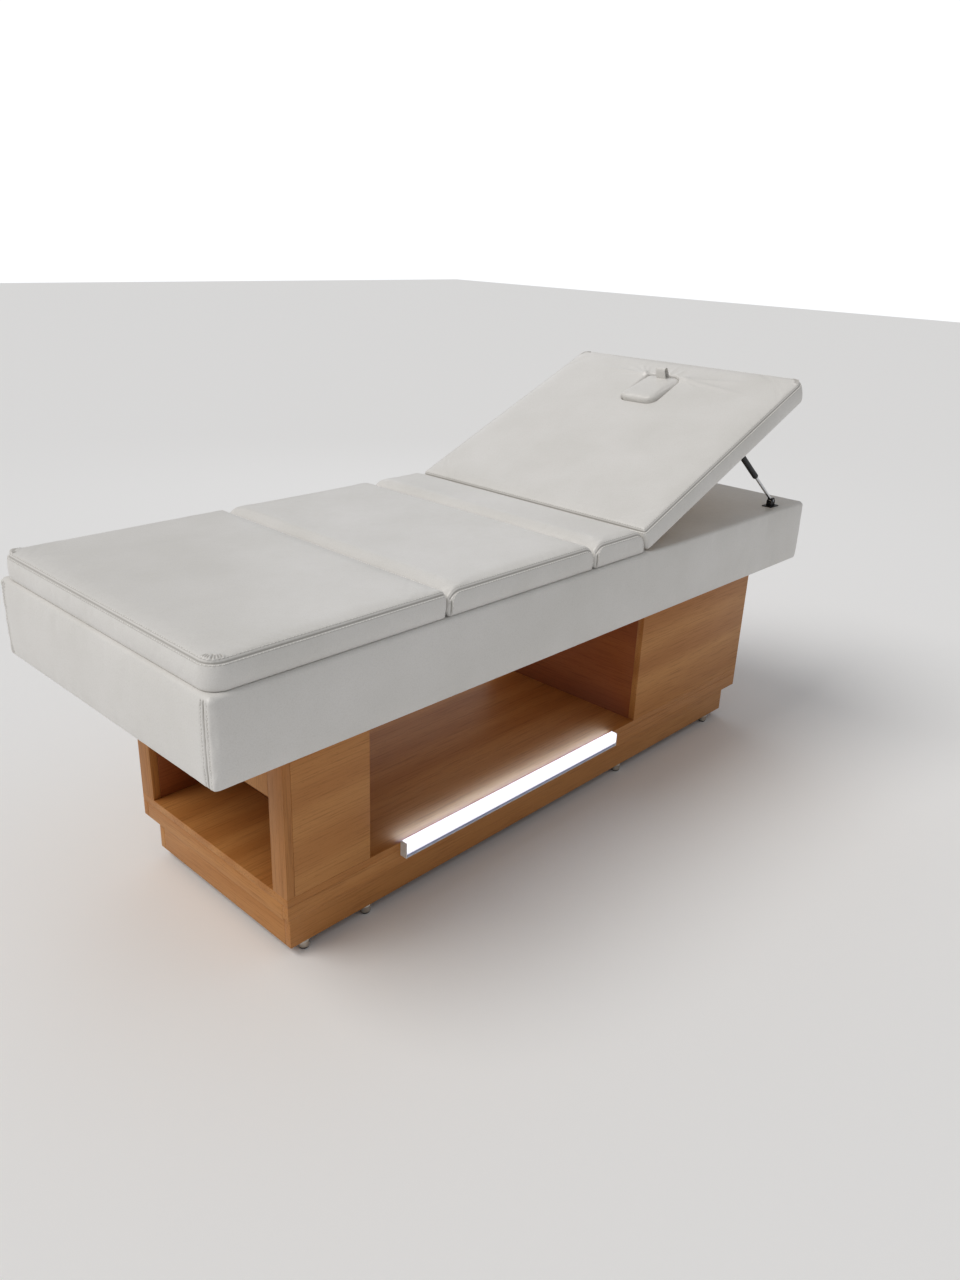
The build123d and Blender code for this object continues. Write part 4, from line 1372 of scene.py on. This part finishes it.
@dataclass
class FacePlug:
    """Loose plug of the face hole: a wedge-topped pad with a folded pull strap."""

    hinge: BackHinge
    corner: float = 0.0245
    edge_radius: float = 0.010
    fall: float = 0.018  # how much lower the top is at the head end
    strap: float = 0.0024  # strap's thickness
    strap_turns: int = 40
    flare: float = 1.3  # the cloth loop stands fuller than the band it is folded from
    squareness: float = 0.55  # below one, the loop's shoulders are squarer than a round

    def build(self) -> list[bpy.types.Object]:
        """Makes the pad and its strap, at rest.

        Returns:
            The pad, then the strap.
        """
        low, high = self.hinge.flat_box("face_plug")
        form = PaddedForm("face_plug_pad", low, high, self.corner, self.corner, sewn_ends=False,
                          sewn_sides=False, cell=0.004, inset=0.005, wrap_radius=self.edge_radius,
                          end_radius=self.edge_radius, bulge=0.0, tuck=0.003, board=0.004, crown=0.0022,
                          give=0.0006, side_cell=0.006, waviness=0.0003)
        form.lay_panel()
        form.shape()
        form.swell(slack=0.01)
        self.slope(form)
        form.divide()
        form.ripple(0.05)
        smooth(form.piece, 60)
        strap = self.fold_strap()
        for piece in (form.piece, strap):
            piece.data.transform(self.hinge.raised())
        return [form.piece, strap]

    def slope(self, form: PaddedForm) -> None:
        """Lowers the pad's top towards its head end."""
        points = points_of(form.piece)
        share = np.clip((points[:, 0] - form.low.x) / (form.high.x - form.low.x), 0, 1)
        rise = np.clip((points[:, 2] - form.low.z - 0.01) / 0.03, 0, 1)
        points[:, 2] -= self.fall * share * rise
        move_points(form.piece, points)

    def fold_strap(self) -> bpy.types.Object:
        """A strap folded into a loop that stands on the plug's head end."""
        low, high = self.hinge.flat_box("plug_tab")
        across = 6
        bpy.ops.object.select_all(action="DESELECT")
        bpy.ops.mesh.primitive_grid_add(x_subdivisions=self.strap_turns, y_subdivisions=across, size=2)
        strap = settle(bpy.context.object, "plug_strap")
        flat = points_of(strap)
        share = (flat[:, 0] + 1) / 2
        depth = (high.x - low.x) / 2 * self.flare - self.strap
        height = (high.z - low.z) * (1 + self.flare) / 2 - self.strap
        turn = math.pi * (1 - share)
        lean, rise = np.cos(turn), np.sin(turn).clip(0, 1)
        x = (low.x + high.x) / 2 + depth * np.sign(lean) * np.abs(lean) ** self.squareness
        z = low.z - 0.002 + (height + 0.002) * rise ** self.squareness
        y = (low.y + high.y) / 2 + flat[:, 1] * (high.y - low.y) / 2 * self.flare
        move_points(strap, np.column_stack([x, y, z]))
        modify(strap, "SOLIDIFY", thickness=self.strap, offset=0.0)
        modify(strap, "SUBSURF", levels=1, render_levels=1)
        with editing(strap):
            bpy.ops.mesh.select_all(action="SELECT")
            bpy.ops.mesh.normals_make_consistent(inside=False)
        smooth(strap, 60)
        return strap

    def dress(self, pieces: list[bpy.types.Object]) -> None:
        pad, strap = pieces
        fit_out(pad, LEATHERETTE, "plug", "ivory_cushion", ["face_plug"])
        fit_out(strap, LEATHERETTE, "plug", "ivory_cushion", ["plug_tab"])


# ---------------------------------------------------------------- tray
@dataclass
class TrayForm(PaddedForm):
    """The tray's cover, held down where it is sewn as well as where it is stapled."""

    seam_y: float = 0.0

    def held(self) -> np.ndarray:
        """Which vertices the swelling leaves alone: the rim, the corner seams and what is stapled."""
        across = np.abs(np.abs(points_of(self.piece)[:, 1]) - self.seam_y) < 0.002
        return (self.band < 3) | (self.band > self.band.max() - 4) | (across & (self.end_away < 1e-6))


@dataclass
class TrayCover:
    """The box tray's upholstery: one cover over thin foam, with triple-lined seams down its end corners."""

    node: str = "tray_cover"
    corner: float = 0.014
    edge_radius: float = 0.012
    seam: float = 0.017  # side's plane to an end seam
    seam_rows: tuple[float, ...] = (-0.0080, 0.0070)
    welt: float = 0.0145  # seam to the fold of cover round the corner

    def build(self) -> list[bpy.types.Object]:
        """Makes the cover and its stitches.

        Returns:
            The cover, then its stitching.
        """
        low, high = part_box(self.node)
        seam_y = high.y - self.seam
        near_seam = [side * (seam_y + away) for side in (-1, 1) for away in
                     (-0.0120, -0.0095, -0.0080, -0.0065, -0.004, -0.002, 0.0, 0.002, 0.004, 0.0055, 0.0070,
                      0.0085)]
        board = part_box("tray_bottom_board")[1].z - low.z + 0.001
        form = TrayForm(self.node + "_upholstery", low, high, self.corner, self.corner, sewn_ends=False,
                        sewn_sides=False, seam_y=seam_y, cell=0.014, inset=0.005,
                        wrap_radius=self.edge_radius, end_radius=self.edge_radius, bulge=0.0012, tuck=0.0099,
                        board=board, crown=0.0, give=0.0028, side_cell=0.009,
                        panel_lines_y=tuple(near_seam), waviness=0.0008, wavy_top=0.0)
        form.lay_panel()
        form.shape()
        form.swell(slack=0.004)
        form.divide()
        grooves = []
        lines = []
        for side in (-1, 1):
            for plane in (low.x, high.x):
                a = Vector((plane, side * seam_y, low.z))
                b = Vector((plane, side * seam_y, high.z - 0.004))
                # Painted shade along the corner seam's groove.
                grooves.append(Crease(a, b, 0.0020, -0.0026, shade=1.0))
                welt = Vector((0, side * self.welt, 0))
                grooves.append(Crease(a + welt, b + welt, 0.0055, 0.0028, even=True))
                for row in self.seam_rows:
                    shift = Vector((0, row, 0))
                    # Painted shade along the grooves of the stitch rows.
                    grooves.append(Crease(a + shift, b + shift, 0.0019, -0.0018, shade=0.6))
                    lines.append([a + shift + Vector((0, 0, 0.003)), b + shift - Vector((0, 0, 0.002))])
        form.crease(grooves)
        form.ripple(0.16)
        smooth(form.piece, 60)
        stitches = NEEDLE.sew(self.node + "_stitches", form.piece, lines)
        return [form.piece, stitches]

    def dress(self, pieces: list[bpy.types.Object]) -> None:
        cover, stitches = pieces
        fit_out(cover, LEATHERETTE, "base", "ivory_cover", [self.node])
        fit_out(stitches, THREAD, "base", "ivory_cover")


# ---------------------------------------------------------------- hard parts
@dataclass
class EasedPart:
    """A CAD part with its sharp edges eased, so that they catch the light as sanded or pressed edges do."""

    node: str
    finish: Finish
    ease: float = 0.0008
    segments: int = 2

    def build(self) -> bpy.types.Object:
        """Copies the CAD mesh, merges it and eases its edges.

        Returns:
            The eased part.
        """
        source = frame["nodes"][self.node]
        part = bpy.data.objects.new(self.node + "_eased", source.data.copy())
        bpy.context.scene.collection.objects.link(part)
        part.data.name = part.name
        with editing(part, "VERT"):
            bpy.ops.mesh.select_all(action="SELECT")
            bpy.ops.mesh.remove_doubles(threshold=1e-5)
            bpy.ops.mesh.dissolve_limited(angle_limit=math.radians(1))
        modify(part, "BEVEL", width=self.ease, segments=self.segments, limit_method="ANGLE",
               angle_limit=math.radians(40))
        smooth(part, 32)
        return part

    def dress(self, part: bpy.types.Object) -> None:
        """Finishes the part on the body of its CAD node, and hides the node."""
        source = frame["nodes"][self.node]
        slot = SLOTS[self.node]
        fit_out(part, self.finish, source["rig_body"], slot, [self.node])


SLOTS = {name: entry.data.materials[0].name for name, entry in frame["nodes"].items()}


@dataclass
class Base:
    """Laminate boards of the plinth, the shelf and its two blocks."""

    def parts(self) -> list[EasedPart]:
        """The boards, each with its grain and its own stretch of the printed figure; those inside the niche
        in a darker laminate as painted shade.
        """
        grains = {
            Grain.ALONG: ("plinth_near", "plinth_far", "shelf_board", "shelf_rail_near", "shelf_rail_far",
                          "foot_panel_near", "foot_panel_far", "foot_lining_near", "foot_lining_far",
                          "head_panel_near", "head_panel_far", "niche_ceiling", "block_top_boards"),
            Grain.ACROSS: ("plinth_cross_boards", "shelf_cross_rails", "foot_inner_panel", "head_inner_panel",
                           "head_end_panel"),
            Grain.UPRIGHT: ("foot_face_frame",),
        }
        # Painted shade: the boards inside the niche get a darker, redder copy of the laminate, for the shade
        # they sit in.
        inner = ("foot_lining_near", "foot_lining_far", "niche_ceiling", "foot_inner_panel",
                 "head_inner_panel")
        made = []
        for grain, nodes in grains.items():
            for i, node in enumerate(nodes):
                sheet = i % 4
                name = f"beech_laminate_{grain.name.lower()}_{sheet + 1}"
                if node in inner:
                    finish = BeechLaminate(name + "_in_painted_shade", grain, 0.37 * sheet, "A8683A", "945630",
                                           "6A3618")
                else:
                    finish = BeechLaminate(name, grain, 0.37 * sheet)
                made.append(EasedPart(node, finish))
        return made


def dress_nodes() -> None:
    """Gives every CAD node that still shows a finish of its own."""
    finishes = {
        "black_steel": BLACK_PAINT, "chrome_rod": CHROME, "zinc_steel": ZINC, "nickel_cup": NICKEL,
        "nylon": NYLON, "anodised_rail": ANODISED, "opal_diffuser": OPAL, "white_plastic": WHITE_ABS,
        "led_board": SOLDER_MASK, "black_plastic": BLACK_ABS, "plywood": Plywood(),
        "ivory_cover": LEATHERETTE, "ivory_cushion": LEATHERETTE, "beech_laminate": BeechLaminate(),
    }
    for name, node in frame["nodes"].items():
        if node.hide_render:
            continue
        finish = finishes[SLOTS[name]]
        if name == "back_board":
            finish = Plywood("poplar_plywood_back", tilt=BackHinge.from_frame().angle)
        for place in node.material_slots:
            place.material = finish.material()


# ---------------------------------------------------------------- studio
@dataclass
class Studio:
    """Pale floor, soft light from the foot end and above, and the camera."""

    eye: Vector = field(default_factory=lambda: Vector((-1.6569, -1.5795, 1.3523)))
    yaw: float = 42.83
    pitch: float = 22.37
    roll: float = 2.32
    lens: float = 28.03
    key_light: float = 1.25
    sky_light: float = 0.39
    backdrop: float = 0.95

    def build(self) -> None:
        """Sets the camera, the lights and the floor."""
        scene = bpy.context.scene
        scene.view_settings.view_transform = "Standard"
        camera = bpy.data.objects.new("camera", bpy.data.cameras.new("camera"))
        scene.collection.objects.link(camera)
        camera.data.lens = self.lens
        camera.data.clip_end = 60
        turn = (Matrix.Rotation(math.radians(self.yaw - 90), 4, "Z")
                @ Matrix.Rotation(math.radians(90 - self.pitch), 4, "X")
                @ Matrix.Rotation(math.radians(self.roll), 4, "Z"))
        camera.matrix_world = Matrix.Translation(self.eye) @ turn
        scene.camera = camera
        scene.view_settings.look = "Medium High Contrast"
        self.key(scene)
        self.lamp("window", (2.2, 2.6, 2.4), 2.0, 4.5, "F4F8FF", aim=(0.2, 0.0, 0.7))
        self.glow()
        self.sky(scene)
        self.floor()

    def key(self, scene: bpy.types.Scene) -> None:
        """Broad light from above the foot end, as even as daylight.

        Args:
            scene: the scene to light.
        """
        sun = bpy.data.lights.new("key", "SUN")
        sun.energy = self.key_light
        sun.angle = math.radians(34)
        sun.color = linear("FFFCF8")[:3]
        lamp = bpy.data.objects.new("key", sun)
        scene.collection.objects.link(lamp)
        lamp.rotation_euler = Vector((1.9, -0.8, -2.7)).to_track_quat("-Z", "Y").to_euler()

    def glow(self) -> None:
        """Light that the lit strip throws back onto the shelf."""
        low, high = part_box("led_diffuser")
        x = (low.x + high.x) / 2
        length = high.x - low.x
        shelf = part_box("shelf_board")[1].z
        self.lamp("shelf_glow", (x, high.y + 0.010, shelf + 0.016), 0.012, 0.50, "78A4FF", length,
                  aim=(x, high.y + 0.04, shelf))

    def sky(self, scene: bpy.types.Scene) -> None:
        """Even light from all round, in front of a white backdrop.

        Args:
            scene: the scene to light.
        """
        world = bpy.data.worlds.new("studio")
        scene.world = world
        world.use_nodes = True
        tree = world.node_tree
        tree.nodes.clear()
        seen = put(tree, "ShaderNodeLightPath").outputs["Is Camera Ray"]
        strength = ranged(tree, seen, (0.0, 1.0), (self.sky_light, self.backdrop))
        sky = put(tree, "ShaderNodeBackground", {"Color": linear("F5F6F8"), "Strength": strength})
        put(tree, "ShaderNodeOutputWorld", {"Surface": sky.outputs["Background"]})

    def lamp(self, name: str, place: tuple[float, float, float], size: float, power: float, tint: str,
             length: float = 0.0, aim: tuple[float, float, float] = (0.0, 0.0, 0.5)) -> None:
        """Adds an area light.

        Args:
            name: its name.
            place: where it is.
            size: its side.
            power: its power in watts.
            tint: its colour.
            length: its long side, if it isn't square.
            aim: what it faces.
        """
        light = bpy.data.lights.new(name, "AREA")
        light.energy = power
        light.color = linear(tint)[:3]
        light.size = length or size
        if length:
            light.shape = "RECTANGLE"
            light.size_y = size
        lamp = bpy.data.objects.new(name, light)
        bpy.context.scene.collection.objects.link(lamp)
        lamp.location = place
        lamp.rotation_euler = (Vector(aim) - Vector(place)).to_track_quat("-Z", "Y").to_euler()

    def floor(self) -> None:
        """Adds the pale floor."""
        bpy.ops.object.select_all(action="DESELECT")
        bpy.ops.mesh.primitive_plane_add(size=40)
        floor = settle(bpy.context.object, "studio_floor")
        paint = bpy.data.materials.new("studio_floor_paint")
        paint.use_nodes = True
        shader = paint.node_tree.nodes["Principled BSDF"]
        shader.inputs["Base Color"].default_value = linear("F2F2F2")
        shader.inputs["Roughness"].default_value = 0.9
        floor.data.materials.append(paint)
        floor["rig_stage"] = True


def write_sizes() -> None:
    """Turns the CAD box and the visual model's box into JSON text, which is not kept."""
    boxes = {"cad": cad_box, "visual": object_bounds()}
    json.dumps({name: [list(corner) for corner in box] for name, box in boxes.items()})


def main() -> None:
    """Builds the bed, piece by piece."""
    logging.basicConfig(level=logging.INFO, format="%(message)s")
    Studio().build()
    hinge = BackHinge.from_frame()
    soft = (TrayCover(), SewnCushion(), WrappedCushion("seat_cushion"),
            WrappedCushion("narrow_cushion", lean=0.0155), BackCushion(hinge), FacePlug(hinge))
    for sub_assembly in soft:
        sub_assembly.dress(sub_assembly.build())
    for board in Base().parts():
        board.dress(board.build())
    dress_nodes()
    write_sizes()


if __name__ == "__main__":
    main()
